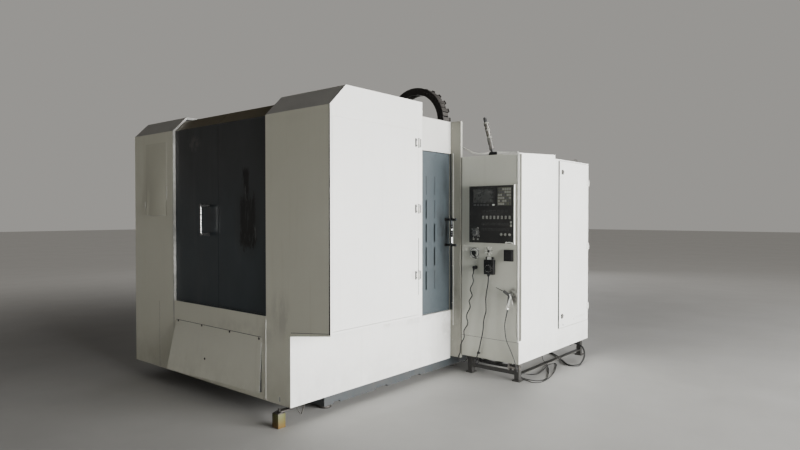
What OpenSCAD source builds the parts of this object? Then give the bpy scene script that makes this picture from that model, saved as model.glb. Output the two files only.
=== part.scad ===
// Horizontal machining centre with a two-leaf front loading door, a vented
// side door, a control cabinet and a two-pallet changer. Millimetres, +Z up.
// X runs along the front face, Y runs from the front face to the back.

/* [Enclosure] */
// Left end of the enclosure, measured from the lower right wall
body_w = 2420; // [2300:10:2600]
// How far the right door bay stands out past the lower right wall
overhang = 440; // [400:5:460]
// Width of each door bay beside the front door
bay_w = 735; // [720:5:740]
// Depth of the right door bay from front to back
bay_depth = 1060; // [1060:1:1070]
// Height of the roof
top_z = 2545; // [2540:1:2560]
// Height and depth of the sloped edge along the roof
chamfer = 160; // [150:1:170]
// Height of the lower edge of the enclosure sheets
skirt_z = 130; // [110:1:140]
// Underside of the part of the right bay that stands out
bay_z = 740; // [720:1:745]
// Thickness of the enclosure sheets
sheet = 3; // [2:0.5:4]

/* [Front doors] */
// Depth of the front door behind the bay fronts
door_recess = 28; // [27:0.5:29]
// Depth of one front door leaf
leaf_t = 30; // [26:1:32]
// Distance of the front handle bar from the door
handle_reach = 78; // [60:1:90]
// Height between the legs of the front handle
handle_len = 250; // [200:5:300]

/* [Side door] */
// Height of each vent slot
slot_h = 183; // [150:1:200]
// Width of each vent slot
slot_w = 20; // [12:1:24]
// Rows of vent slots
slot_rows = 5; // [1:1:5]

/* [Control cabinet] */
// Height of the cabinet top
cab_z = 2180; // [2170:1:2190]
// Distance of the cabinet's underside from the floor
cab_leg = 185; // [180:1:190]

/* [Machine] */
// Side of the square pallets
pallet = 500; // [400:10:500]
// Thickness of the pallets
pallet_t = 100; // [80:5:100]
// Radius of the spindle shaft
spindle_r = 65; // [60:1:70]
// Number of pockets in the tool magazine
pockets = 20; // [12:1:20]

/* [Hidden] */
$fn = 48;

// The row's origin is under the middle of the machine
ox = 811.5;
oy = -1798;

lx = -body_w;             // left end
lb = lx + bay_w;          // right edge of the left bay
rb = overhang - bay_w;    // left edge of the right bay
mid = (lb + rb) / 2;      // meeting line of the front doors
cz = top_z - chamfer;     // lower edge of the slope
ltz = top_z - 20;         // roof over the left bay, a little lower
lcham = chamfer - 20;     // depth of the slope there
t = sheet;
ux = mid;                 // middle of the pallets and the spindle
ty = 1610;                // middle of the table
sz = 1300;                // height of the spindle
py = 1060;                // middle of the pallet changer

white = [0.87, 0.87, 0.85];
grey = [0.43, 0.48, 0.51];
dark = [0.13, 0.14, 0.15];
steel = [0.62, 0.63, 0.64];
black = [0.06, 0.06, 0.06];
cream = [0.75, 0.76, 0.70];

module at() translate([ox, oy, 0]) children();
module bx(x0, x1, y0, y1, z0, z1) translate([x0, y0, z0]) cube([x1 - x0, y1 - y0, z1 - z0]);
module cx(x0, x1, y, z, r) translate([x0, y, z]) rotate([0, 90, 0]) cylinder(h = x1 - x0, r = r);
module cy(y0, y1, x, z, r) translate([x, y0, z]) rotate([-90, 0, 0]) cylinder(h = y1 - y0, r = r);
module cz_(z0, z1, x, y, r) translate([x, y, z0]) cylinder(h = z1 - z0, r = r);
// A shape drawn in Y and Z, pulled along X
module prof(x0, x1, pts) translate([x0, 0, 0]) rotate([90, 0, 90]) linear_extrude(x1 - x0) polygon(pts);

// ---- cord sweep ----
function unit(v) = v / norm(v);
function tang(p, i) = unit(p[min(i + 1, len(p) - 1)] - p[max(i - 1, 0)]);
function ring(p, i, r, n, ref) =
  let (d = tang(p, i), a = unit(cross(d, ref)), b = cross(d, a))
  [for (k = [0 : n - 1]) p[i] + r * cos(360 * k / n) * a + r * sin(360 * k / n) * b];
module tube(p, r, n, ref) {
  m = len(p);
  pts = [for (i = [0 : m - 1]) each ring(p, i, r, n, ref)];
  faces = concat(
    [[for (k = [0 : n - 1]) k]],
    [for (i = [0 : m - 2]) for (k = [0 : n - 1])
      [i * n + k, (i + 1) * n + k, (i + 1) * n + (k + 1) % n, i * n + (k + 1) % n]],
    [[for (k = [0 : n - 1]) (m - 1) * n + n - 1 - k]]);
  polyhedron(pts, faces, convexity = 6);
}
// Points between the route's own points, on one smooth curve
function cat(a, b, c, d, u) = 0.5 * (2 * b + u * (c - a) + u * u * (2 * a - 5 * b + 4 * c - d)
  + u * u * u * (3 * b - a - 3 * c + d));
function fine(p, k) = concat([for (i = [0 : len(p) - 2]) for (j = [0 : k - 1])
  cat(p[max(i - 1, 0)], p[i], p[i + 1], p[min(i + 2, len(p) - 1)], j / k)], [p[len(p) - 1]]);
pendant_route = [[469, 2071, 998], [468, 2071, 960], [462, 2072, 920], [451, 2073, 870], [442, 2074, 820],
  [437, 2075, 765], [440, 2075, 705], [440, 2075, 655], [426, 2075, 610], [414, 2075, 560], [409, 2075, 490],
  [399, 2075, 430], [386, 2075, 373], [371, 2075, 310], [357, 2075, 256], [340, 2074, 205], [326, 2076, 162],
  [316, 2090, 124], [308, 2120, 106], [305, 2144, 116], [305, 2151, 134], [305, 2152, 150], [305, 2152, 165]];
wavy_route = [[304, 2060, 1042], [304, 2060, 1036], [304, 2060, 1030], [300, 2060, 1016], [293, 2061, 998], [298, 2062, 972], [302, 2064, 945],
  [288, 2066, 912], [268, 2068, 880], [262, 2069, 850], [276, 2070, 822], [282, 2070, 796], [264, 2070, 768],
  [247, 2071, 740], [256, 2071, 708], [258, 2071, 676], [238, 2071, 640], [218, 2072, 602], [217, 2072, 566],
  [230, 2072, 534], [226, 2072, 502], [204, 2072, 470], [185, 2072, 436], [186, 2072, 402], [187, 2072, 370],
  [168, 2072, 332], [149, 2072, 294], [143, 2072, 250], [138, 2072, 208], [120, 2074, 172], [108, 2086, 138],
  [118, 2108, 112], [140, 2132, 104], [164, 2149, 126], [169, 2152, 145], [170, 2152, 155],
  [170, 2152, 165]];
hose_route = [[684, 2064, 702], [684, 2064, 694], [684, 2064, 686], [678, 2065, 664], [670, 2067, 636], [660, 2069, 600], [653, 2070, 560],
  [652, 2071, 515], [657, 2072, 465], [667, 2072, 412], [684, 2072, 372], [703, 2072, 336], [722, 2072, 298],
  [742, 2072, 256], [758, 2073, 215], [767, 2075, 176], [768, 2086, 140], [762, 2110, 112], [752, 2136, 116],
  [746, 2149, 138], [744, 2150, 152], [744, 2150, 165]];
conduit_route = [[-118, 2190, 2404], [-90, 2190, 2401], [-60, 2190, 2391], [-30, 2190, 2372], [0, 2190, 2349],
  [30, 2190, 2327], [60, 2190, 2306], [92, 2190, 2287], [126, 2190, 2269], [160, 2190, 2253], [186, 2190, 2240],
  [210, 2192, 2229], [238, 2195, 2220], [267, 2202, 2214], [291, 2213, 2213], [313, 2228, 2214], [332, 2245, 2217],
  [349, 2264, 2222], [363, 2283, 2226]];
hose2_route = [[706, 3468, 158], [740, 3468, 157], [786, 3468, 150], [832, 3460, 128], [868, 3424, 94],
  [898, 3356, 58], [915, 3280, 31], [926, 3205, 14], [936, 3140, 10.5], [926, 3082, 10.5], [884, 3050, 10.5],
  [826, 3068, 10.5], [756, 3150, 10.5], [681, 3242, 10.5], [600, 3330, 10.5], [504, 3420, 10.5], [400, 3470, 10.5],
  [290, 3474, 10.5], [180, 3440, 10.5], [80, 3380, 10.5], [-10, 3300, 14], [-90, 3226, 30], [-160, 3176, 58],
  [-214, 3154, 78], [-250, 3150, 80]];
cable_route = [[560, 3020, 165], [560, 3020, 120], [562, 3024, 72], [570, 3026, 32], [592, 3018, 10], [629, 2982, 5],
  [685, 2900, 5], [752, 2790, 5], [809, 2683, 5], [864, 2548, 5], [902, 2440, 5], [900, 2350, 5], [846, 2296, 5],
  [768, 2288, 5], [696, 2320, 5], [650, 2390, 5], [664, 2450, 5], [712, 2468, 5], [752, 2498, 5], [762, 2560, 5],
  [750, 2633, 5], [728, 2750, 8], [708, 2830, 13], [694, 2910, 12], [686, 2984, 6], [700, 3040, 5], [744, 3000, 5],
  [809, 2841, 5], [871, 2658, 5], [914, 2472, 5], [926, 2340, 5], [912, 2262, 5], [866, 2226, 5], [812, 2238, 6],
  [760, 2252, 8], [710, 2256, 20], [672, 2248, 50], [652, 2241, 100], [650, 2240, 165]];

// ================= fixed structure =================

feet = [[-2180, 470], [-1150, 470], [-128, 470], [-2180, 2300], [-128, 2300], [-1600, 3300], [-380, 3300],
  [-1150, 1300]];

module machine_base() color(grey) at() difference() {
  union() {
    bx(-2300, -8, 354, 2400, 53, 450);
    bx(-1700, -280, 2399, 3400, 53, 520);
    for (x = [-1370, -690]) bx(x, x + 80, 1210, 2240, 449, 500);
  }
  // chip troughs beside the ways
  bx(-2230, -1560, 1240, 2180, 190, 451);
  bx(-420, -90, 1240, 2180, 190, 451);
  // pit for the head's sliding cover
  bx(ux - 165, ux + 165, 2244, 2266, 190, 451);
  // hollows in the casting, open below
  for (x = [-2230, -1500, -770]) bx(x, x + 660, 560, 1150, 52, 380);
  bx(-1500, -440, 1360, 2180, 52, 390);
  for (x = [-1520, -960]) bx(x, x + 480, 2480, 3200, 52, 440);
  // arches along the bottom of the right flank
  for (y = [[454, 533], [964, 1125], [1455, 1609]]) bx(-70, -7, y[0], y[1], 52, 68);
  for (p = feet) cz_(50, 190, p[0], p[1], 15.5);
}

module levelling_feet() at() {
  color(steel) for (p = feet) {
    cz_(0, 22, p[0], p[1], 55);
    cz_(21, 34, p[0], p[1], 34);
    cz_(33, 180, p[0], p[1], 15);
    translate([p[0], p[1], 33]) cylinder(h = 20, r = 28, $fn = 6);
  }
  // yellow jacking block under the front right corner
  color([0.62, 0.55, 0.14]) bx(-76, 15, -118, -34, 0, 104);
  color(steel) { bx(-70, 8, -112, -36, 104, 112); bx(-66, -6, -84, 34, 112, 122); }
}

module left_bay_shell() color(white) at() {
  difference() {
    union() {
      prof(lx, lb, [[0, 772], [0, cz], [lcham, ltz], [lcham + 4, ltz - t], [lcham - 1, ltz - t],
        [t, cz - 1.5], [t, 772]]);
      bx(lx, -1950, 0, t, skirt_z, 773);
      // return edge beside the door
      prof(lb - t, lb, [[0, 772], [0, cz], [lcham, ltz], [300, ltz], [300, ltz - 20], [lcham + 4, ltz - 20],
        [26, cz], [26, 772]]);
      // side sheet
      prof(lx, lx + t, [[0, skirt_z], [0, cz], [lcham, ltz], [470, ltz], [470, top_z], [2250, top_z],
        [2250, skirt_z]]);
      // folded foot of the sheets
      bx(lx, -1950, 0, 40, skirt_z, skirt_z + t);
      bx(lx, lx + 40, 0, 2250, skirt_z, skirt_z + t);
      // back return edge
      bx(lx, lx + 40, 2250 - t, 2250, skirt_z, 449);
    }
  }
}

module right_bay_shell() color(white) at() {
  difference() {
    union() {
      prof(rb, overhang, [[0, bay_z], [0, cz], [chamfer, top_z], [chamfer + 4, top_z - t],
        [chamfer - 1, top_z - t], [t, cz - 1.5], [t, bay_z]]);
      bx(rb, 0, 0, t, skirt_z, bay_z + 1);
      // slightly raised return edge beside the door and the lower panel
      bx(rb - 2, rb + 1, -2, 14, skirt_z, 772);
      prof(rb, rb + t, [[0, 772], [0, cz], [chamfer, top_z], [470, top_z], [470, top_z - 20],
        [chamfer + 4, top_z - 20], [26, cz], [26, 772]]);
      // right face
      prof(overhang - t, overhang, [[0, bay_z], [0, cz], [chamfer, top_z], [bay_depth, top_z],
        [bay_depth, bay_z]]);
      // underside and back
      bx(0, overhang, 0, bay_depth, bay_z, bay_z + t);
      bx(0, overhang, bay_depth - t, bay_depth, bay_z, top_z);
      // closet front wall and ceiling
      bx(0, 409, 66, 69, bay_z, 2340);
      bx(0, overhang, 66, bay_depth, 2337, 2340);
      bx(406, 409, 19, 69, 757, 2340);
      // jamb around the access door
      bx(406, overhang, 19, 22, 757, 2308);
      bx(409, overhang, 1006, 1009, 757, 2308);
      bx(409, overhang, 19, 1009, 757, 760);
      bx(409, overhang, 19, 1009, 2305, 2308);
      // corner fold of the lower front
      bx(-t, 0, 0, 3, skirt_z, bay_z);
      // lip that hangs below the part standing out
      translate([0, t, 0]) rotate([90, 0, 0]) linear_extrude(t)
        polygon([[-1, bay_z + 1], [overhang, bay_z + 1], [overhang, 733], [0, 676], [-1, 676]]);
    }
    bx(409, overhang + 1, 22, 1006, 760, 2305);
    // upright slot of the drain
    for (z = [163, 181]) cy(-1, t + 1, -131, z, 9);
    bx(-140, -122, -1, t + 1, 163, 181);
  }
}

module lower_front_panel() color(white) at() difference() {
  union() {
    bx(-1948, rb - 2, 0, t, skirt_z, 772);
    bx(-1948, rb - 2, 0, 70, 769, 772);
    // lip in front of the leaves' lower edges
    bx(lb + 0.5, rb - 2, 0, t, 770, 799);
    bx(-1948, rb - 2, 0, 40, skirt_z, skirt_z + t);
  }
  bx(-1600, -400, -1, t + 1, 210, 590);
}

// A thin cover that hangs from its top screws and has bowed out below
cover_nx = 12;
cover_nz = 8;
cover_w = 1285;
cover_h = 444;
function cover_out(u, v) = -(v * (20 + 78 * pow(1 - u, 1.6)) + 6 * sin(180 * u) * v);
module front_cover_plate() color(white) at() {
  pts = concat(
    [for (j = [0 : cover_nz]) for (i = [0 : cover_nx])
      let (u = i / cover_nx, v = j / cover_nz)
      [-1640 + u * cover_w, cover_out(u, v), 624 - v * cover_h]],
    [for (j = [0 : cover_nz]) for (i = [0 : cover_nx])
      let (u = i / cover_nx, v = j / cover_nz)
      [-1640 + u * cover_w, cover_out(u, v) - 2, 624 - v * cover_h]]);
  w = cover_nx + 1;
  n = w * (cover_nz + 1);
  faces = concat(
    [for (j = [0 : cover_nz - 1]) for (i = [0 : cover_nx - 1]) each
      [[j * w + i, j * w + i + 1, (j + 1) * w + i + 1], [j * w + i, (j + 1) * w + i + 1, (j + 1) * w + i]]],
    [for (j = [0 : cover_nz - 1]) for (i = [0 : cover_nx - 1]) each
      [[n + j * w + i, n + (j + 1) * w + i + 1, n + j * w + i + 1],
       [n + j * w + i, n + (j + 1) * w + i, n + (j + 1) * w + i + 1]]],
    [for (i = [0 : cover_nx - 1]) each
      [[i, n + i + 1, i + 1], [i, n + i, n + i + 1],
       [cover_nz * w + i, cover_nz * w + i + 1, n + cover_nz * w + i + 1],
       [cover_nz * w + i, n + cover_nz * w + i + 1, n + cover_nz * w + i]]],
    [for (j = [0 : cover_nz - 1]) each
      [[j * w, (j + 1) * w, n + (j + 1) * w], [j * w, n + (j + 1) * w, n + j * w],
       [j * w + cover_nx, n + (j + 1) * w + cover_nx, (j + 1) * w + cover_nx],
       [j * w + cover_nx, n + j * w + cover_nx, n + (j + 1) * w + cover_nx]]]);
  polyhedron(pts, faces, convexity = 4);
}

module right_wall_panel() color(white) at() {
  bx(-t, 0, t, 2096, skirt_z, 622);
  bx(-t, 0, t, 67, 621, bay_z);
  bx(-t, 0, 66, bay_depth, 621, 2337);
  bx(-t, 0, bay_depth, 1100, 621, 2542);
  bx(-t, 0, bay_depth, 2096, 2223, 2542);
  // sill of the side door and folded foot
  bx(-64, -t + 1, 1100, 2096, 619, 622);
  bx(-60, -t + 1, t, 340, skirt_z, skirt_z + t);
}

module roof_panel() color(white) at() {
  translate([0, 0, top_z - t]) linear_extrude(t)
    polygon([[lx + t, 470], [rb + t, 470], [rb + t, chamfer + 4], [overhang - t, chamfer + 4], [overhang - t, bay_depth - t], [0, bay_depth - t], [0, 2099],
      [-150, 2099], [-150, 2250], [lx + t, 2250]]);
  // lower roof of the left bay and the step behind it
  bx(lx + t, lb - t, lcham + 4, 471, ltz - t, ltz);
  bx(lx + t, rb + t, 470, 473, 2516, top_z - t + 1);
}

module corner_strip() color(cream) at() {
  bx(-5, 124, 2099, 2102, 150, top_z);
  bx(-60, -4, 2099, 2102, 451, top_z);
  bx(121, 124, 2099, 2128, 150, top_z);
  bx(-60, -57, 2099, 2120, 451, top_z);
}

module chamber_liner() color(steel) at() {
  // wall behind the table, with the upright slot for the spindle nose
  difference() {
    bx(lx + t, -150, 2247, 2250, 451, top_z - t);
    bx(ux - 128, ux + 128, 2246, 2251, 910, 1890);
    bx(-1370 - 4, -1290 + 4, 2246, 2251, 450, 504);
    bx(-690 - 4, -610 + 4, 2246, 2251, 450, 504);
  }
  bx(-153, -150, 2102, 2248, 451, top_z - t);
  bx(-153, -60, 2102, 2105, 451, top_z - t);
  // elbow of the tower's cable
  cx(-151, -130, 2190, 2400, 12);
  // left inner wall
  bx(-2103, -2100, 1203, 2248, 451, top_z - t);
  // low wall between the loading place and the table
  bx(lx + t, -74, 1200, 1203, 451, 860);
  // fixed wings beside the turning screen
  bx(lx + t, ux - 878, 1058, 1061, 451, top_z - t);
  bx(ux + 878, -70, 1058, 1061, 451, top_z - t);
  bx(ux - 879, ux + 879, 1058, 1061, 2110, top_z - t);
  // wall of the side door's pocket
  bx(-70, -67, 72, 1085, 451, 2340);
}

module door_rails() color(steel) at() {
  // hanging rail
  bx(lx + 20, overhang - 15, 222, 248, 2434, 2440);
  bx(lx + 20, overhang - 15, 247, 254, 2434, 2500);
  bx(lx + 20, lb - 10, 247, 254, 2499, ltz - t);
  bx(rb + 10, overhang - 15, 247, 254, 2499, top_z - t);
  // floor guide in two lips
  bx(lx + 20, rb + 600, 34, 37.5, 772, 784);
  bx(lx + 20, rb + 600, 48.5, 52, 772, 784);
  bx(lx + 20, rb + 600, 34, 52, 772, 774);
  // side door rails
  bx(-63, -60, 180, 2090, 2230, 2262);
  bx(-63, -3, 180, 2090, 2259, 2262);
}

module column() color(cream) at() difference() {
  union() {
    bx(-1440, -540, 2620, 3350, 520, 2600);
    for (x = [-1410, -680]) bx(x, x + 110, 2590, 2621, 620, 2560);
    // drive housing of the upright axis
    cz_(2599, 2640, ux, 2760, 110);
    bx(ux - 65, ux + 65, 2695, 2825, 2639, 2860);
  }
  bx(-1290, -690, 2619, 2960, 700, 2480);
  bx(-1350, -630, 3040, 3351, 620, 2250);
  // step at the top of the back
  bx(-1441, -539, 3050, 3351, 2300, 2601);
}

module chain_guide() color([0.34, 0.38, 0.33]) at() {
  // upright trough of the fixed leg
  bx(-325, -230, 2440, 2444, 1700, 2460);
  bx(-328, -324, 2298, 2444, 1700, 2460);
  bx(-231.5, -228, 2298, 2444, 1700, 2460);
  // brackets to the column
  for (z = [1800, 2100, 2400]) bx(-540, -324, 2620, 2640, z, z + 40);
  for (z = [1800, 2100, 2400]) bx(-324, -300, 2443, 2640, z, z + 40);
}

module magazine_housing() color(white) at() {
  difference() {
    bx(lx + t, -1480, 2255, 2950, 1250, 2250);
    bx(lx + 2 * t, -1483, 2258, 2947, 1253, 2247);
    // window on the left flank
    bx(lx - 1, lx + 3 * t, 2400, 2800, 1500, 2000);
  }
  // shaft of the wheel
  cy(2420, 2948, -1950, 1750, 30);
  cy(2560, 2948, -1950, 1750, 90);
  // stand
  for (x = [-2400, -1800]) for (y = [2500, 2860]) {
    bx(x, x + 80, y, y + 80, 10, 1251);
    bx(x - 15, x + 95, y - 20, y + 100, 0, 12);
  }
}

module coolant_tank() color(grey) at() {
  difference() {
    union() { bx(-2300, -320, 3410, 3700, 14, 380); bx(-2310, -310, 3405, 3706, 379, 386); }
    bx(-2290, -330, 3420, 3690, 24, 372);
    // open basin for the chips
    bx(-2250, -1250, 3440, 3670, 371, 387);
  }
  for (x = [-2250, -380]) for (y = [3440, 3670]) cz_(0, 16, x, y, 18);
  for (x = [-700, -1000]) { cz_(385, 430, x, 3555, 90); cz_(429, 700, x, 3555, 70); }
}

module changer_post() color(grey) at() {
  difference() {
    cz_(450, 840, ux, py, 130);
    cz_(600, 861, ux, py, 60.05);
  }
  // stand of the loading place
  cz_(450, 840, ux, py - 550, 150);
  cz_(839, 898, ux, py - 550, 190);
}

module cabinet_shell() color(white) at() {
  difference() {
    union() {
      difference() {
        bx(143, 786, 2099, 3711, cab_leg, cab_z);
        bx(146, 783, 2102, 3708, cab_leg + t, cab_z - t);
        // opening of the cabinet door
        bx(765, 787, 2940, 3708, 397, 2168);
      }
      // edge of the door opening
      bx(768, 784, 2937, 2940, 188, 2177);
      bx(768, 784, 2937, 3708, 394, 397);
      // box of the operator panel
      bx(250, 754, 2060, 2100, 1320, 1886);
      // wall between the two bays
      bx(146, 768, 2900, 2903, 188, 2177);
      // mounting plate
      bx(196, 199, 2960, 3690, 260, 2120);
      for (z = [280, 2060]) for (y = [2990, 3640]) bx(145, 197, y, y + 30, z, z + 30);
      // frame legs
      for (x = [170, 700]) for (y = [2166, 3600]) bx(x, x + 50, y, y + 50, 12, cab_leg + 1);
      for (x = [170, 700]) for (y = [2166, 3600]) bx(x - 15, x + 65, y - 15, y + 65, 0, 13);
      bx(700, 750, 2190, 3640, 60, 66);
      bx(175, 715, 2172, 2178, 60, 100);
      bx(640, 666, 2180, 2184, 98, cab_leg + 1);
      // box of the floor hose
      bx(640, 700, 3440, 3500, 130, cab_leg + 1);
      cx(699, 706, 3468, 158, 15);
      // holder of the pendant
      bx(462, 498, 2090, 2099, 1080, 1140);
      cy(2078, 2100, 468, 1247, 8);
      cy(2070, 2079, 468, 1247, 16);
      // cable glands under the floor
      for (p = [[305, 2152], [170, 2152], [744, 2150], [560, 3020], [650, 2240]]) cz_(165, 186, p[0], p[1], 11);
      // raised cover on the top
      translate([0, 0, cab_z - 1]) polyhedron(
        [[560, 2104, 0], [784, 2104, 0], [784, 2860, 0], [560, 2860, 0],
         [560, 2104, 27], [784, 2104, 3], [784, 2860, 40], [560, 2860, 51]],
        [[0, 1, 2, 3], [4, 5, 1, 0], [5, 6, 2, 1], [6, 7, 3, 2], [7, 4, 0, 3], [4, 7, 6], [4, 6, 5]]);
    }
    bx(256, 748, 2059, 2098, 1327, 1880);
    bx(262, 742, 2090, 2103, 1333, 1874);
    // groove down the front corner
    bx(785, 787, 2108, 2126, 430, 2160);
    // seam across the lower front
    bx(142, 787, 2098, 2099.6, 388, 390);
  }
}

module cnc_bezel() color(dark) at() difference() {
  union() {
    bx(256, 748, 2057, 2064, 1327, 1880);
    bx(264, 740, 2063, 2180, 1335, 1872);
  }
  bx(308, 532, 2056, 2063, 1712, 1850);
  bx(576, 726, 2056, 2061, 1690, 1861);
  // holes of the knob and the buttons
  cy(2056, 2090, 330, 1425, 8.05);
  for (x = [619, 663.5, 708]) cy(2056, 2090, x, 1412, 11.05);
  bx(270, 734, 2072, 2181, 1341, 1866);
}

module display_screen() color([0.16, 0.16, 0.17]) at() bx(308.4, 531.6, 2059, 2063, 1712.4, 1849.6);

module membrane_keys() color([0.55, 0.56, 0.52]) at() {
  // keypad
  bx(576.4, 725.6, 2058, 2061, 1690.4, 1860.6);
  for (i = [0 : 5]) for (j = [0 : 5]) bx(581 + i * 24, 599 + i * 24, 2055, 2058.2, 1694 + j * 28, 1714 + j * 28);
  // keys under the screen
  for (x = [319, 357, 394, 430, 467, 531]) bx(x - 12, x + 12, 2054.8, 2057, 1688, 1702);
  // row of keys
  for (i = [0 : 7]) bx(403 + i * 41.7, 429 + i * 41.7, 2054.8, 2057, 1559, 1591);
  for (z = [1487, 1518]) bx(713, 732, 2054.8, 2057, z, z + 21);
  for (x = [298, 347]) bx(x, x + 18, 2054.8, 2057, 1352, 1368);
}

module switch_plate() color([0.70, 0.70, 0.66]) at() difference() {
  union() { bx(242, 342, 2093, 2099, 1172, 1272); cy(2088, 2094, 294, 1222, 46); }
  cy(2086, 2099.5, 294, 1222, 7.05);
}

module outlet_cover() color(black) at() {
  bx(634, 727, 2077, 2099, 1157, 1267);
  bx(641, 720, 2070, 2078, 1164, 1260);
}

module pendant_case() color(black) at() difference() {
  union() {
    bx(425, 535, 2052, 2090, 1021, 1165);
    // shoulders beside the holder
    bx(441, 456, 2060, 2084, 1164, 1194);
    bx(506, 521, 2060, 2084, 1164, 1194);
    // cable boss
    translate([469, 2071, 998]) cylinder(h = 24, r1 = 8, r2 = 18);
  }
  cy(2051, 2075, 480, 1080, 5.05);
}

module air_gun_body() color(black) at() { gun_solid(); cy(2057, 2071, 716, 848, 2); }
module gun_solid() difference() {
  union() {
    // ears of the trigger
    bx(700, 722, 2056, 2072, 838, 855);
    // body and grip
    hull() { translate([650, 2064, 868]) sphere(r = 15, $fn = 32); translate([704, 2064, 836]) sphere(r = 15, $fn = 32); }
    hull() { translate([704, 2064, 836]) sphere(r = 15, $fn = 32); translate([688, 2064, 745]) sphere(r = 11, $fn = 32); }
    // nozzle
    translate([652, 2064, 868]) rotate([0, -70, 0]) cylinder(h = 100, r = 4.5);
    // inlet
    translate([684, 2064, 702]) cylinder(h = 44, r = 7);
    // hanger into the panel
    cy(2064, 2099, 690, 852, 5);
  }
  // slot of the trigger
  bx(706, 735, 2061, 2067, 800, 862);
}

// Light segments along the tower: from, to, radius
segments = [[68, 187, 28], [205, 264, 25], [281.5, 339, 25]];
module signal_tower() color([0.80, 0.80, 0.76]) at() {
  bx(355, 415, 2270, 2330, cab_z, cab_z + 18);
  translate([385, 2300, cab_z + 10]) rotate([0, -15, 0]) {
    cylinder(h = 68, r = 19);
    cylinder(h = 400, r = 6);
    for (s = segments) translate([0, 0, s[1] + 0.5]) cylinder(h = 17, r = 26.5);
    translate([0, 0, 355]) cylinder(h = 59, r = 18);
  }
}

module signal_lenses() color([0.8, 0.6, 0.4]) at() translate([385, 2300, cab_z + 10]) rotate([0, -15, 0])
  for (s = segments) translate([0, 0, s[0] + 0.5]) difference() {
    cylinder(h = s[1] - s[0] - 0.5, r = s[2]);
    translate([0, 0, -1]) cylinder(h = s[1] - s[0] + 2, r = s[2] - 3);
  }

// Fixed hinge leaves and pins of both side doors
hinge_z = [1095, 1650, 2200];
cab_hinge_z = [560, 1240, 1960];
module hinge_pins() color(steel) at() {
  for (z = hinge_z) {
    bx(440, 443, 1014, 1034, z - 34, z + 34);
    for (s = [-1, 1]) {
      bx(440, 447, 1007, 1015, z + s * 23 - 11, z + s * 23 + 11);
      cz_(z + s * 23 - 11, z + s * 23 + 11, 447, 1007, 6);
    }
    cz_(z - 34, z + 34, 447, 1007, 3);
  }
  for (z = cab_hinge_z) {
    bx(745, 786, 3711, 3714, z - 34, z + 34);
    for (s = [-1, 1]) {
      bx(785, 792, 3711, 3714, z + s * 23 - 11, z + s * 23 + 11);
      cz_(z + s * 23 - 11, z + s * 23 + 11, 792, 3709, 5);
    }
    cz_(z - 34, z + 34, 792, 3709, 2.5);
  }
}

// ================= cords =================
module pendant_cable() color(black) at() tube(fine(pendant_route, 2), 6, 8, [1, 0.1, 0]);
module wavy_cord() color(black) at() tube(fine(wavy_route, 2), 6, 8, [0.3, 1, 0.05]);
module cord_plug() color(black) at() {
  cy(2044, 2099, 311, 1080, 15);
  translate([304, 2060, 1042]) cylinder(h = 32, r1 = 6.5, r2 = 8);
}
module air_hose() color(black) at() tube(fine(hose_route, 2), 5, 8, [1, 0.1, 0.12]);
module tower_conduit() color([0.66, 0.66, 0.62]) at() tube(fine(conduit_route, 2), 9, 10, [0.1, 0.2, 1]);
module floor_hose() color(black) at() tube(fine(hose2_route, 2), 9, 10, [0.1, 0.12, 1]);
module floor_cable() color(black) at() tube(fine(cable_route, 2), 3.5, 8, [0.3, 1, 0.05]);

// ================= doors =================
leaf_y0 = door_recess;
leaf_y1 = door_recess + leaf_t;
module leaf(x0, x1, hang) {
  // skin
  prof(x0, x1, [[leaf_y0, 790], [leaf_y0, cz], [leaf_y0 + 100, cz + 100], [leaf_y0 + 102.2, cz + 97.9],
    [leaf_y0 + 3, cz - 1.3], [leaf_y0 + 3, 790]]);
  // edge flanges
  for (x = [x0, x1 - 3]) prof(x, x + 3, [[leaf_y0, 790], [leaf_y0, cz], [leaf_y0 + 100, cz + 100],
    [leaf_y0 + 121, cz + 79], [leaf_y1, cz - 12], [leaf_y1, 790]]);
  bx(x0, x1, leaf_y0, leaf_y1, 790, 793);
  // tongue in the floor guide
  bx(x0, x1, 40, 46, 777, 791);
  // inner sheet
  bx(x0 + 2, x1 - 2, leaf_y1 - 2, leaf_y1, 791, cz - 12);
  // hangers and rollers
  for (x = hang) {
    bx(x - 60, x + 60, leaf_y1 - 1, 220, 2344, 2350);
    bx(x - 60, x + 60, 214, 220, 2344, 2480);
    for (s = [-40, 40]) { cy(219, 226, x + s, 2462.4, 5); cy(225, 244, x + s, 2462.4, 22); }
  }
}
module front_door_left() color(dark) at() leaf(lb - 10, mid - 2, [-1560, -1120]);
module front_door_right() color(dark) at() leaf(mid + 2, rb + 10, [-860, -420]);
module front_door_handle() color(steel) at() {
  for (z = [-1, 1]) cy(leaf_y0 - handle_reach, leaf_y0, -1140, 1555 + z * handle_len / 2, 8);
  translate([-1140, leaf_y0 - handle_reach, 1555 - handle_len / 2 - 8]) cylinder(h = handle_len + 16, r = 10);
}

module side_access_door() color(white) at() {
  difference() {
    union() {
      bx(437, 440, 25, 1003, 763, 2302);
      bx(418, 439, 25, 28, 763, 2302);
      bx(418, 439, 1000, 1003, 763, 2302);
      bx(418, 439, 25, 1003, 763, 766);
      bx(418, 439, 25, 1003, 2299, 2302);
      bx(424, 438, 500, 540, 764, 2301);
      for (z = hinge_z) {
        bx(440, 443, 973, 1000.5, z - 34, z + 34);
        bx(440, 443, 1000, 1003, z - 11.5, z + 11.5);
        bx(440, 447, 1000, 1005.5, z - 11.5, z + 11.5);
        cz_(z - 11.5, z + 11.5, 447, 1007, 6);
      }
    }
    for (z = hinge_z) cz_(z - 12, z + 12, 447, 1007, 3.05);
  }
}

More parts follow.
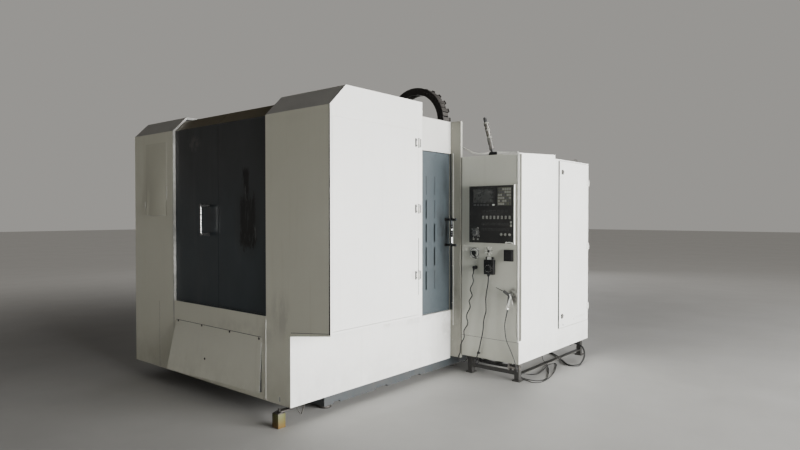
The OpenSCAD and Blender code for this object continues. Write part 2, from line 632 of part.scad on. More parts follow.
module side_sliding_door() color(grey) at() {
  difference() {
    prof(-18, -15, [[1085, 628], [2068, 628], [2086, 2217], [1085, 2217]]);
    for (c = [0 : 5]) for (r = [0 : slot_rows - 1])
      bx(-19, -14, 1168 + c * 135 - slot_w / 2, 1168 + c * 135 + slot_w / 2, 955 + r * 233 - slot_h / 2, 955 + r * 233 + slot_h / 2);
  }
  bx(-45, -17, 1085, 1088, 628, 2217);
  prof(-45, -17, [[2065, 628], [2068, 628], [2086, 2217], [2083, 2217]]);
  bx(-45, -17, 1085, 2068, 628, 631);
  bx(-45, -17, 1085, 2084, 2214, 2217);
  prof(-45, -43, [[1086, 629], [2067, 629], [2085, 2216], [1086, 2216]]);
  // hanging rollers
  for (y = [1200, 1950]) { bx(-45, -38, y - 40, y + 40, 2216, 2250); cx(-58, -44, y, 2246, 12); }
}
module side_door_handle() color(steel) at() {
  for (z = [1294, 1552]) cx(-15, 122, 2030, z, 8);
  translate([62, 2030, 1284]) cylinder(h = 278, r = 10);
}

module cabinet_door() color(white) at() difference() {
  union() {
    bx(783, 786, 2943, 3705, 400, 2165);
    bx(771, 784, 2943, 2946, 400, 2165);
    bx(771, 784, 3690, 3693, 400, 2165);
    bx(771, 784, 2943, 3693, 400, 403);
    bx(771, 784, 2943, 3693, 2162, 2165);
    for (z = cab_hinge_z) {
      bx(786, 789, 3672, 3705, z - 34, z + 34);
      bx(786, 792, 3700, 3707, z - 11.5, z + 11.5);
      cz_(z - 11.5, z + 11.5, 792, 3709, 5);
    }
  }
  for (z = cab_hinge_z) cz_(z - 12, z + 12, 792, 3709, 2.55);
  for (z = [522, 2050]) cx(780, 787, 3035, z, 8.05);
}
module lock(z) {
  difference() { cx(786.4, 794, 3035, z, 15); bx(791, 795, 3033, 3037, z - 11, z + 11); }
  cx(760, 787, 3035, z, 8);
  bx(762, 766, 3026, 3044, z - 10, z + 104);
}
module upper_lock() color(steel) at() lock(2050);
module lower_lock() color(steel) at() lock(522);

// ================= moving machine parts =================
module saddle() color(grey) at() {
  bx(-1740, -240, 1390, 1830, 500.3, 600);
  // ways for the table
  for (y = [1430, 1710]) bx(-1730, -250, y, y + 80, 599, 635);
  // hooks around the lower ways
  for (x = [-1400, -1288.5, -720, -608.5]) bx(x, x + 28.5, 1400, 1820, 462, 501);
}

module table_slide() color(grey) at() {
  bx(ux - 300, ux + 300, 1390, 1830, 635.3, 760);
  cz_(759, 785, ux, ty, 215);
  for (y = [1398.5, 1511.5, 1678.5, 1791.5]) bx(ux - 280, ux + 280, y, y + 30, 606, 636);
}

module rotary_table() color(steel) at() {
  cz_(785.4, 900, ux, ty, 200);
  for (a = [45 : 90 : 315]) translate([ux + 150 * cos(a), ty + 150 * sin(a), 899]) cylinder(h = 17, r1 = 26, r2 = 22);
}

module changer_lift() color(steel) at() {
  cz_(670, 906, ux, py, 60);
  cz_(905, 980, ux, py, 45);
}

module pallet_changer() color(grey) at() difference() {
  union() {
    // cross head and prongs
    bx(ux - 245, ux + 245, py - 170, py + 170, 925, 958);
    for (s = [-1, 1]) bx(ux + s * 225 - 20, ux + s * 225 + 20, py - 780, py + 780, 925, 958);
    cz_(906.4, 960, ux, py, 110);
    // screen between the two places
    bx(ux - 868, ux + 868, py - 14, py + 14, 925, 2100);
    for (x = [-700, -350, 0, 350, 700]) bx(ux + x - 15, ux + x + 15, py - 28, py + 28, 960, 2080);
    cz_(957, 1010, ux, py, 80);
  }
  cz_(900, 985, ux, py, 45.05);
}

module pallet_block(y) difference() {
  bx(ux - pallet / 2, ux + pallet / 2, y - pallet / 2, y + pallet / 2, 958.4, 958.4 + pallet_t);
  for (a = [45 : 90 : 315]) translate([ux + 150 * cos(a), y + 150 * sin(a), 957]) cylinder(h = 22, r = 30);
  // T-slots
  for (x = [-200 : 100 : 200]) {
    bx(ux + x - 9, ux + x + 9, y - 251, y + 251, 958.4 + pallet_t - 18, 958.4 + pallet_t + 1);
    bx(ux + x - 15, ux + x + 15, y - 251, y + 251, 958.4 + pallet_t - 30, 958.4 + pallet_t - 17);
  }
}
module pallets() color(steel) at() { pallet_block(py - 550); pallet_block(py + 550); }

module spindle_head() color(cream) at() difference() {
  union() {
    bx(ux - 250, ux + 250, 2268, 2589, sz - 300, sz + 300);
    cy(2170, 2270, ux, sz, 118);
    // sliding cover of the slot
    bx(ux - 150, ux + 150, 2254, 2258, 455, 2140);
    bx(ux - 60, ux + 60, 2257, 2269, sz - 290, sz + 290);
    // guide shoes
    for (x = [-1440, -1298.5, -710, -568.5]) bx(x, x + 28.5, 2560, 2616, sz - 280, sz + 280);
    bx(-1440, ux - 249, 2560, 2589.5, sz - 280, sz + 280);
    bx(ux + 249, -540, 2560, 2589.5, sz - 280, sz + 280);
    // cable trough above the head
    bx(-1052, -1048.5, 2298, 2434, sz + 299, sz + 850);
    bx(-956.5, -953, 2298, 2434, sz + 299, sz + 850);
    bx(-1052, -953, 2432.5, 2436, sz + 299, sz + 850);
  }
  cy(2169, 2590, ux, sz, spindle_r + 0.05);
}

module spindle() color(steel) at() difference() {
  union() {
    cy(2170, 2585, ux, sz, spindle_r);
    cy(2148, 2169.6, ux, sz, 64);
    cy(2169, 2171, ux, sz, 60);
    for (s = [-1, 1]) bx(ux - 12.7, ux + 12.7, 2140, 2150, sz + s * 50 - 10, sz + s * 50 + 10);
  }
  // tool taper
  translate([ux, 2147, sz]) rotate([-90, 0, 0]) cylinder(h = 102, r1 = 35, r2 = 20);
}

// Link chain that loops over the column
chain_x = [-1045, -320];
module drag_chain() color(black) at() {
  difference() {
    cy(2302, 2428, -640, 2610, 401);
    cy(2301, 2429, -640, 2610, 324);
    bx(-1050, -230, 2300, 2430, 2200, 2610);
  }
  for (a = [0 : 11]) translate([-640, 2300, 2610]) rotate([0, -7.5 - a * 15, 0]) translate([320, 0, -26]) cube([85, 130, 52]);
  for (x = chain_x) {
    bx(x + 4, x + 81, 2302, 2428, x < -700 ? 1900 : 1850, 2611);
    for (z = [2550 : -70 : 1905]) bx(x, x + 85, 2300, 2430, z, z + 52);
  }
}

module magazine_wheel() color(steel) at() difference() {
  union() {
    cy(2400, 2424, -1950, 1750, 330);
    cy(2380, 2540, -1950, 1750, 90);
    for (a = [0 : 360 / pockets : 359]) {
      cy(2390, 2470, -1950 + 345 * cos(a), 1750 + 345 * sin(a), 40);
      cy(2330, 2391, -1950 + 345 * cos(a), 1750 + 345 * sin(a), 31);
      cy(2300, 2331, -1950 + 345 * cos(a), 1750 + 345 * sin(a), 20);
    }
  }
  cy(2379, 2541, -1950, 1750, 30.05);
}

// ================= hand controls =================
module override_dial() color([0.5, 0.5, 0.48]) at() {
  cy(2037, 2056.5, 330, 1425, 34);
  cy(2035, 2038, 330, 1425, 28);
  cy(2056, 2078, 330, 1425, 8);
}
module main_switch() color(black) at() {
  cy(2070, 2087.6, 294, 1222, 22);
  translate([294, 0, 1222]) rotate([0, -33.7, 0]) bx(-7, 7, 2062, 2078, -68, 22);
  cy(2087, 2098, 294, 1222, 7);
}
module button(x) cy(2046, 2084, x, 1412, 11);
module cycle_start_button() color([0.8, 0.85, 0.8]) at() button(619);
module feed_hold_button() color([0.85, 0.85, 0.8]) at() button(663.5);
module program_stop_button() color([0.85, 0.8, 0.8]) at() button(708);
module handwheel() color([0.3, 0.3, 0.3]) at() {
  cy(2040, 2051.6, 480, 1080, 30);
  cy(2051, 2072, 480, 1080, 5);
  cy(2032, 2041, 496, 1094, 5);
}
module air_gun_trigger() color(steel) at() difference() {
  union() {
    cy(2061.5, 2066.5, 716, 848, 5);
    translate([716, 2061.5, 848]) rotate([0, -15.8, 0]) translate([-2.5, 0, -95]) cube([5, 5, 95]);
  }
  cy(2061, 2067, 716, 848, 2.05);
}

machine_base();
levelling_feet();
left_bay_shell();
right_bay_shell();
lower_front_panel();
front_cover_plate();
right_wall_panel();
roof_panel();
corner_strip();
chamber_liner();
door_rails();
column();
chain_guide();
magazine_housing();
coolant_tank();
changer_post();
cabinet_shell();
cnc_bezel();
display_screen();
membrane_keys();
switch_plate();
outlet_cover();
pendant_case();
air_gun_body();
signal_tower();
signal_lenses();
hinge_pins();
pendant_cable();
wavy_cord();
cord_plug();
air_hose();
tower_conduit();
floor_hose();
floor_cable();
front_door_left();
front_door_handle();
front_door_right();
side_access_door();
side_sliding_door();
side_door_handle();
cabinet_door();
upper_lock();
lower_lock();
saddle();
table_slide();
rotary_table();
changer_lift();
pallet_changer();
pallets();
spindle_head();
spindle();
drag_chain();
magazine_wheel();
override_dial();
main_switch();
cycle_start_button();
feed_hold_button();
program_stop_button();
handwheel();
air_gun_trigger();
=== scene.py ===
import math
import random

import bmesh
import bpy
from mathutils import Matrix, Vector


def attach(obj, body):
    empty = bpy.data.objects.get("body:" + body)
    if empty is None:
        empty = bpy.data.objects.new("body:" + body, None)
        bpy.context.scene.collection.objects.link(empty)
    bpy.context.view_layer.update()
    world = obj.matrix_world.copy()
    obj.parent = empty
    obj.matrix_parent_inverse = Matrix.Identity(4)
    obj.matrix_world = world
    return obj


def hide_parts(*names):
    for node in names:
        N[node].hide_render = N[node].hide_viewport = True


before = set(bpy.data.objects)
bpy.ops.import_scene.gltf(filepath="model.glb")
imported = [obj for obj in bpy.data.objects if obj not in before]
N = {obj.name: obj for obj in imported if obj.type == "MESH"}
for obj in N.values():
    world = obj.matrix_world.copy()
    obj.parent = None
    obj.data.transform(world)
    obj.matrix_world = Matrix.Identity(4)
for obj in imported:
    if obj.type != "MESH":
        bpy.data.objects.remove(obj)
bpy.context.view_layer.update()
OX, OY = 811.5, -1798.0
pi, sin, cos, rad = math.pi, math.sin, math.cos, math.radians


def V(x, y, z):
    """A point in the drawing's millimetres, as metres in the row frame."""
    return Vector(((x + OX) / 1000, (y + OY) / 1000, z / 1000))


# ---------------------------------------------------------------- camera
cam_data = bpy.data.cameras.new("camera")
cam_data.lens = 26.934
cam_data.sensor_width = 36
cam_data.sensor_fit = "HORIZONTAL"
cam_data.clip_end = 200
cam = bpy.data.objects.new("camera", cam_data)
cam.location = (4.3545, -4.727, 1.6)
cam.rotation_euler = (rad(89.02), 0, rad(40))
bpy.context.scene.collection.objects.link(cam)
bpy.context.scene.camera = cam


# ---------------------------------------------------------------- materials
class G:
    """A short way to write a material's nodes."""

    def __init__(s, name):
        s.m = bpy.data.materials.new(name)
        s.m.use_nodes = True
        s.t = s.m.node_tree
        s.b = next(n for n in s.t.nodes if n.type == "BSDF_PRINCIPLED")
        s.tc = s.t.nodes.new("ShaderNodeTexCoord").outputs["Object"]
        s._xyz = None

    def link(s, a, b):
        s.t.links.new(a, b)

    def put(s, sock, x):
        if isinstance(x, bpy.types.NodeSocket):
            s.link(x, sock)
        elif x is not None:
            sock.default_value = (*x, 1.0) if hasattr(x, "__len__") and len(x) == 3 and sock.type == "RGBA" else x

    def mapped(s, scale, loc=(0, 0, 0)):
        n = s.t.nodes.new("ShaderNodeMapping")
        s.link(s.tc, n.inputs["Vector"])
        n.inputs["Scale"].default_value = scale
        n.inputs["Location"].default_value = loc
        return n.outputs[0]

    def noise(s, scale, detail=4.0, rough=0.55, vec=None, dist=0.0):
        n = s.t.nodes.new("ShaderNodeTexNoise")
        s.link(vec or s.tc, n.inputs["Vector"])
        n.inputs["Scale"].default_value = scale
        n.inputs["Detail"].default_value = detail
        n.inputs["Roughness"].default_value = rough
        n.inputs["Distortion"].default_value = dist
        return n.outputs["Fac"]

    def rng(s, x, a, b, c=0.0, d=1.0, smooth=True):
        n = s.t.nodes.new("ShaderNodeMapRange")
        n.interpolation_type = "SMOOTHSTEP" if smooth else "LINEAR"
        s.link(x, n.inputs["Value"])
        for k, v in zip(("From Min", "From Max", "To Min", "To Max"), (a, b, c, d)):
            n.inputs[k].default_value = v
        return n.outputs[0]

    def math(s, op, a, b):
        n = s.t.nodes.new("ShaderNodeMath")
        n.operation = op
        s.put(n.inputs[0], a)
        s.put(n.inputs[1], b)
        return n.outputs[0]

    def mix(s, f, a, b):
        n = s.t.nodes.new("ShaderNodeMix")
        n.data_type = "RGBA"
        s.put(n.inputs[0], f)
        s.put(n.inputs[6], a)
        s.put(n.inputs[7], b)
        return n.outputs[2]

    def axis(s, k):
        if s._xyz is None:
            n = s.t.nodes.new("ShaderNodeSeparateXYZ")
            s.link(s.tc, n.inputs[0])
            s._xyz = n.outputs
        return s._xyz["xyz".index(k)]

    def facing(s, k, lo, hi, amount):
        """amount where the piece's own surface looks along an axis."""
        t = s.t.nodes.new("ShaderNodeTexCoord")
        n = s.t.nodes.new("ShaderNodeSeparateXYZ")
        s.link(t.outputs["Normal"], n.inputs[0])
        return s.rng(n.outputs["xyz".index(k)], lo, hi, 0, amount)

    def near(s, centre, radii):
        """1 in the middle of an ellipsoid and 0 outside it."""
        n = s.t.nodes.new("ShaderNodeMapping")
        n.vector_type = "POINT"
        s.link(s.tc, n.inputs["Vector"])
        c = V(*centre)
        sc = [1000.0 / r for r in radii]
        n.inputs["Scale"].default_value = sc
        n.inputs["Location"].default_value = [-c[i] * sc[i] for i in range(3)]
        l = s.t.nodes.new("ShaderNodeVectorMath")
        l.operation = "LENGTH"
        s.link(n.outputs[0], l.inputs[0])
        return s.rng(l.outputs["Value"], 1.0, 0.35)

    def bump(s, h, strength, dist=0.001, normal=None):
        n = s.t.nodes.new("ShaderNodeBump")
        n.inputs["Strength"].default_value = strength
        n.inputs["Distance"].default_value = dist
        s.link(h, n.inputs["Height"])
        if normal is not None:
            s.link(normal, n.inputs["Normal"])
        return n.outputs[0]


def tint(c, k):
    return tuple(min(1.0, max(0.0, x * k)) for x in c)


def paint(name, col, rough=0.45, metal=0.0, var=0.05, vs=1.6, rv=0.08, bump=0.06, bs=420.0, streak=0.0,
          streak_col=(0.30, 0.27, 0.22), low=None, spots=(), coat=0.0, coat_rough=0.1, spec=0.5, fleck=0.0,
          fleck_col=(0.2, 0.18, 0.15), wave=0.0, edge=None, top=None, foot=None, front=None):
    """One painted, moulded or metal surface. low is (z of full dirt, z of none, colour, amount);
    top is (z where painted shade starts, z where it is full, colour, amount), darker towards the top as painted shade;
    front is (amount, colour), the tint painted on faces that look along -y as their shade; foot is (z, colour), all
    below z painted dark as shade;
    spots are (centre, radii, colour, amount, noise scale)."""
    g = G(name)
    n1 = g.noise(vs, 5, 0.6)
    c = g.mix(g.rng(n1, 0.3, 0.7), tint(col, 1 - var), tint(col, 1 + var))
    n2 = g.noise(38, 3, 0.6)
    c = g.mix(g.math("MULTIPLY", g.rng(n2, 0.45, 0.75), 0.35 * var * 4), c, tint(col, 0.88))
    if streak:
        sn = g.noise(1.0, 5, 0.62, g.mapped((16, 16, 0.9)))
        c = g.mix(g.rng(sn, 0.52, 0.78, 0, streak), c, streak_col)
    if low:
        z = g.rng(g.axis("z"), low[0] / 1000, low[1] / 1000, 1, 0)
        ln = g.noise(5.5, 6, 0.66)
        c = g.mix(g.math("MULTIPLY", z, g.rng(ln, 0.3, 0.68, 0.12 * low[3], low[3])), c, low[2])
    # painted shade: darker towards the top
    if top:
        z = g.rng(g.axis("z"), top[0] / 1000, top[1] / 1000, 0, 1)
        c = g.mix(g.math("MULTIPLY", z, top[3]), c, top[2])
    # painted shade: faces that look along -y take a shaded tint
    if front:
        c = g.mix(g.facing("y", -0.9, -0.97, front[0]), c, front[1])
    # painted shade: everything below this height dark
    if foot:
        c = g.mix(g.rng(g.axis("z"), foot[0] / 1000, (foot[0] + 2) / 1000, 1, 0), c, foot[1])
    rough_in = g.rng(g.noise(9.0, 4, 0.6), 0.3, 0.7, max(0.02, rough - rv), min(1, rough + rv))
    for sp in spots:
        m = g.math("MULTIPLY", g.near(sp[0], sp[1]), g.rng(g.noise(sp[4], 6, 0.65, g.mapped((1, 1, sp[5])) if len(sp) > 5 else None),
                                                    0.36, 0.62, 0, sp[3]))
        c = g.mix(m, c, sp[2])
    if fleck:
        fl = g.rng(g.noise(90, 2, 0.5), 0.66, 0.72, 0, fleck)
        c = g.mix(fl, c, fleck_col)
    if edge:
        be = g.t.nodes.new("ShaderNodeBevel")
        be.samples = 4
        be.inputs["Radius"].default_value = edge[0] / 1000
        ge = g.t.nodes.new("ShaderNodeNewGeometry")
        d = g.t.nodes.new("ShaderNodeVectorMath")
        d.operation = "DOT_PRODUCT"
        g.link(be.outputs[0], d.inputs[0])
        g.link(ge.outputs["Normal"], d.inputs[1])
        m = g.rng(d.outputs["Value"], 0.99, 0.86, 0, 1)
        m = g.math("MULTIPLY", m, g.rng(g.noise(24, 5, 0.7), 0.42, 0.6, 0.1, edge[2]))
        c = g.mix(m, c, edge[1])
    g.put(g.b.inputs["Base Color"], c)
    g.put(g.b.inputs["Roughness"], rough_in)
    g.b.inputs["Metallic"].default_value = metal
    g.b.inputs["Specular IOR Level"].default_value = spec
    if coat:
        g.b.inputs["Coat Weight"].default_value = coat
        g.b.inputs["Coat Roughness"].default_value = coat_rough
    nrm = g.bump(g.noise(bs, 2, 0.5), bump, 0.0006)
    if wave:
        nrm = g.bump(g.noise(1.7, 2, 0.5), wave, 0.02, nrm)
    g.link(nrm, g.b.inputs["Normal"])
    return g.m


WHITE = (0.79, 0.79, 0.765)
GRIME = (0.20, 0.185, 0.155)
EDGE = (0.42, 0.38, 0.32)
# front faces tinted warmer and upper parts darker: painted shade
m_white = paint("enclosure_white", WHITE, 0.46, front=(0.2, (0.81, 0.79, 0.30)), top=(900, 2400, (0.45, 0.445, 0.41), 0.22), var=0.025, wave=0.10, streak=0.10, low=(120, 620, GRIME, 0.22), edge=(2.2, EDGE, 0.55),
                spots=[((-120, 0, 830), (150, 40, 240), GRIME, 0.26, 9, 0.3), ((-1685, 14, 1600), (16, 60, 2600), (0.36, 0.355, 0.33), 0.95, 3), ((-300, 0, 700), (150, 40, 260), GRIME, 0.10, 9), ((-640, 0, 640), (640, 60, 120), GRIME, 0.14, 7),
                       ((440, 980, 1100), (20, 90, 60), (0.45, 0.43, 0.38), 0.5, 20), ((440, 990, 1660), (20, 70, 50), (0.45, 0.43, 0.38), 0.4, 20),
                       ((-60, 40, 2350), (700, 60, 120), GRIME, 0.10, 6)])
# upper part painted darker as shade
m_wall = paint("wall_white", tint(WHITE, 0.985), 0.48, top=(900, 2400, (0.45, 0.445, 0.41), 0.50), var=0.03, wave=0.12, streak=0.12, low=(120, 560, GRIME, 0.20), edge=(2.2, EDGE, 0.5),
               spots=[((0, 2040, 520), (30, 140, 260), GRIME, 0.32, 10), ((0, 1110, 620), (30, 60, 60), (0.3, 0.25, 0.18), 0.4, 18),
                      ((0, 1600, 600), (30, 600, 50), GRIME, 0.2, 12)])
# front faces tinted and everything above 900 mm darker, which darkens the upper cover sheet: painted shade
m_cover = paint("cover_white", tint(WHITE, 1.0), 0.43, top=(900, 1500, (0.40, 0.395, 0.37), 0.45), front=(0.2, (0.84, 0.82, 0.36)), var=0.03, wave=0.22, streak=0.10, low=(150, 520, GRIME, 0.18), edge=(2.0, EDGE, 0.5))
# front faces painted much darker, and everything below 183 mm dark under the cabinet: painted shade
m_cab = paint("cabinet_white", (0.785, 0.79, 0.765), 0.44, front=(0.46, (0.15, 0.15, 0.05)), var=0.03, wave=0.08, streak=0.12, low=(180, 520, GRIME, 0.16), edge=(2.0, EDGE, 0.5), foot=(183, (0.035, 0.034, 0.032)),
              spots=[((722, 2099, 842), (66, 30, 90), (0.07, 0.065, 0.06), 0.9, 26), ((742, 2099, 822), (50, 30, 96), (0.05, 0.048, 0.044), 0.95, 8), ((690, 2099, 760), (90, 30, 120), GRIME, 0.28, 16),
                     ((294, 2099, 1130), (80, 30, 60), GRIME, 0.24, 18), ((480, 2099, 960), (110, 30, 90), GRIME, 0.14, 14),
                     ((786, 2118, 880), (14, 40, 90), GRIME, 0.45, 22), ((786, 3060, 430), (14, 26, 16), (0.12, 0.1, 0.08), 0.8, 60),
                     ((786, 3330, 452), (14, 20, 14), (0.14, 0.12, 0.1), 0.6, 60), ((786, 3500, 470), (14, 190, 20), GRIME, 0.25, 30),
                     ((330, 2060, 1330), (60, 20, 26), GRIME, 0.3, 20)])
# front faces and upper part painted darker as shade
m_cream = paint("strip_cream", (0.52, 0.52, 0.47), 0.47, front=(0.5, (0.10, 0.095, 0.055)), top=(1450, 2300, (0.22, 0.215, 0.19), 0.45), var=0.06, wave=0.10, streak=0.34, low=(150, 760, GRIME, 0.45), edge=(2.0, EDGE, 0.5),
                spots=[((70, 2099, 640), (80, 30, 360), (0.13, 0.12, 0.10), 0.5, 11, 0.4), ((120, 2099, 1420), (60, 30, 180), GRIME, 0.4, 12, 0.5)])
# the first spot paints the handle's shadow on the door and the last the shade along its rear edge; the two between are
# softer darker patches
m_blue = paint("door_blue_grey", (0.052, 0.067, 0.076), 0.50, var=0.06, wave=0.10, streak=0.20, streak_col=(0.045, 0.056, 0.062), edge=(2.0, (0.20, 0.21, 0.21), 0.45),
               spots=[((-16, 2010, 1420), (30, 120, 250), (0.012, 0.013, 0.013), 0.95, 13, 0.5), ((-16, 1900, 1500), (30, 110, 300), (0.032, 0.037, 0.040), 0.5, 9, 0.35),
                      ((-16, 1880, 1060), (30, 120, 240), (0.040, 0.045, 0.048), 0.4, 9, 0.35), ((-16, 2110, 1560), (30, 230, 1000), (0.010, 0.013, 0.014), 0.92, 3, 0.25)])
m_cast = paint("cast_blue_grey", (0.034, 0.043, 0.049), 0.52, var=0.10, bump=0.35, bs=130, low=(50, 420, (0.06, 0.055, 0.05), 0.6), streak=0.25,
               streak_col=(0.07, 0.07, 0.065), edge=(3.0, (0.30, 0.30, 0.29), 0.4))
m_grey = paint("dark_grey_paint", (0.085, 0.095, 0.10), 0.48, var=0.1, bump=0.2, bs=160, edge=(2.0, (0.3, 0.3, 0.29), 0.5))
m_green = paint("guide_green_grey", (0.135, 0.155, 0.12), 0.55, var=0.12, streak=0.3, streak_col=(0.06, 0.06, 0.05), bump=0.15, bs=200)
m_inner = paint("inner_sheet", (0.50, 0.51, 0.50), 0.34, metal=0.85, var=0.10, streak=0.35, streak_col=(0.16, 0.15, 0.13), bump=0.1, bs=260, spec=0.5)
m_steel = paint("bare_steel", (0.52, 0.52, 0.51), 0.30, metal=1.0, var=0.12, bump=0.10, bs=340, fleck=0.4, streak=0.15)
m_chrome = paint("polished_bar", (0.78, 0.78, 0.77), 0.14, metal=1.0, var=0.05, rv=0.05, bump=0.03, bs=300, fleck=0.2)
m_yellow = paint("foot_yellow", (0.078, 0.080, 0.016), 0.52, var=0.2, bump=0.3, bs=140, low=(0, 92, (0.15, 0.075, 0.014), 0.9), fleck=0.6,
                 fleck_col=(0.16, 0.10, 0.05), edge=(4.0, (0.16, 0.11, 0.06), 0.9))
m_black = paint("black_plastic", (0.010, 0.010, 0.0105), 0.42, spec=0.22, var=0.15, bump=0.25, bs=520, edge=(1.5, (0.09, 0.09, 0.09), 0.6))
m_rubber = paint("black_rubber", (0.022, 0.022, 0.021), 0.62, var=0.2, bump=0.3, bs=300, fleck=0.3, fleck_col=(0.09, 0.085, 0.08))
m_cable = paint("cable_black", (0.020, 0.020, 0.020), 0.46, var=0.2, vs=12, bump=0.15, bs=400, fleck=0.3, fleck_col=(0.08, 0.075, 0.07))
m_conduit = paint("conduit_grey", (0.66, 0.65, 0.61), 0.42, var=0.1, vs=9, bump=0.3, bs=160, fleck=0.4)
m_panel = paint("panel_black", (0.016, 0.0155, 0.0150), 0.52, spec=0.35, var=0.14, bump=0.35, bs=620, edge=(1.5, (0.12, 0.12, 0.12), 0.5),
                spots=[((330, 2057, 1425), (70, 20, 70), (0.07, 0.068, 0.062), 0.5, 24), ((520, 2057, 1590), (220, 20, 50), (0.05, 0.05, 0.048), 0.5, 22)])
m_chain = paint("chain_black", (0.011, 0.009, 0.008), 0.60, var=0.2, bump=0.3, bs=240, fleck=0.5, fleck_col=(0.11, 0.10, 0.09))
m_lid = paint("chain_lid", (0.050, 0.046, 0.043), 0.55, var=0.2, vs=14, bump=0.2, bs=260, fleck=0.4, fleck_col=(0.12, 0.11, 0.10))
m_key = paint("key_grey", (0.23, 0.23, 0.205), 0.45, var=0.10, vs=30, bump=0.2, bs=500, fleck=0.4)
m_key2 = paint("key_dark", (0.06, 0.062, 0.062), 0.5, var=0.2, vs=40, bump=0.2, bs=500)
m_key3 = paint("key_olive", (0.085, 0.085, 0.06), 0.5, var=0.2, vs=60, bump=0.2, bs=500)
m_key4 = paint("key_blank", (0.026, 0.0255, 0.025), 0.5, spec=0.35, var=0.2, vs=40, bump=0.2, bs=500)
m_button = paint("button_white", (0.62, 0.62, 0.58), 0.38, var=0.08, vs=40, bump=0.1, bs=400, fleck=0.3)
m_shade = paint("shade_dark", (0.026, 0.031, 0.034), 0.6, var=0.2, bump=0.2, bs=300, fleck=0.3, fleck_col=(0.06, 0.055, 0.05))
# grey of the seam filler, also used as painted shade on the console box's side face
m_inlay2 = paint("seam_and_shade_grey", (0.20, 0.195, 0.165), 0.55, var=0.15, vs=9, streak=0.35, streak_col=(0.07, 0.066, 0.055), bump=0.15, bs=300)
m_blue2 = paint("louvre_blue", (0.030, 0.040, 0.046), 0.55, var=0.15, vs=9, streak=0.2, bump=0.15, bs=200)
m_inlay = paint("inlay_grey", (0.100, 0.098, 0.082), 0.5, var=0.12, vs=9, streak=0.3, streak_col=(0.08, 0.075, 0.06), bump=0.15, bs=300)
m_gap = paint("gap_dark", (0.016, 0.015, 0.014), 0.7, var=0.2, bump=0.2, bs=300, fleck=0.3, fleck_col=(0.06, 0.055, 0.05))
m_mark = paint("mark_white", (0.72, 0.72, 0.68), 0.5, var=0.08, vs=50, bump=0.05, bs=400)
m_tower = paint("tower_grey", (0.18, 0.17, 0.155), 0.42, var=0.1, vs=10, bump=0.15, bs=300, fleck=0.4)
m_gun = paint("gun_grey", (0.055, 0.056, 0.056), 0.36, var=0.2, vs=20, bump=0.2, bs=300, fleck=0.5, fleck_col=(0.3, 0.3, 0.29))
m_zinc = paint("zinc_screw", (0.50, 0.49, 0.46), 0.34, metal=1.0, var=0.12, vs=60, bump=0.15, bs=400)
m_dark_screw = paint("dark_screw", (0.07, 0.065, 0.06), 0.42, metal=0.7, var=0.2, vs=60, bump=0.2, bs=400)


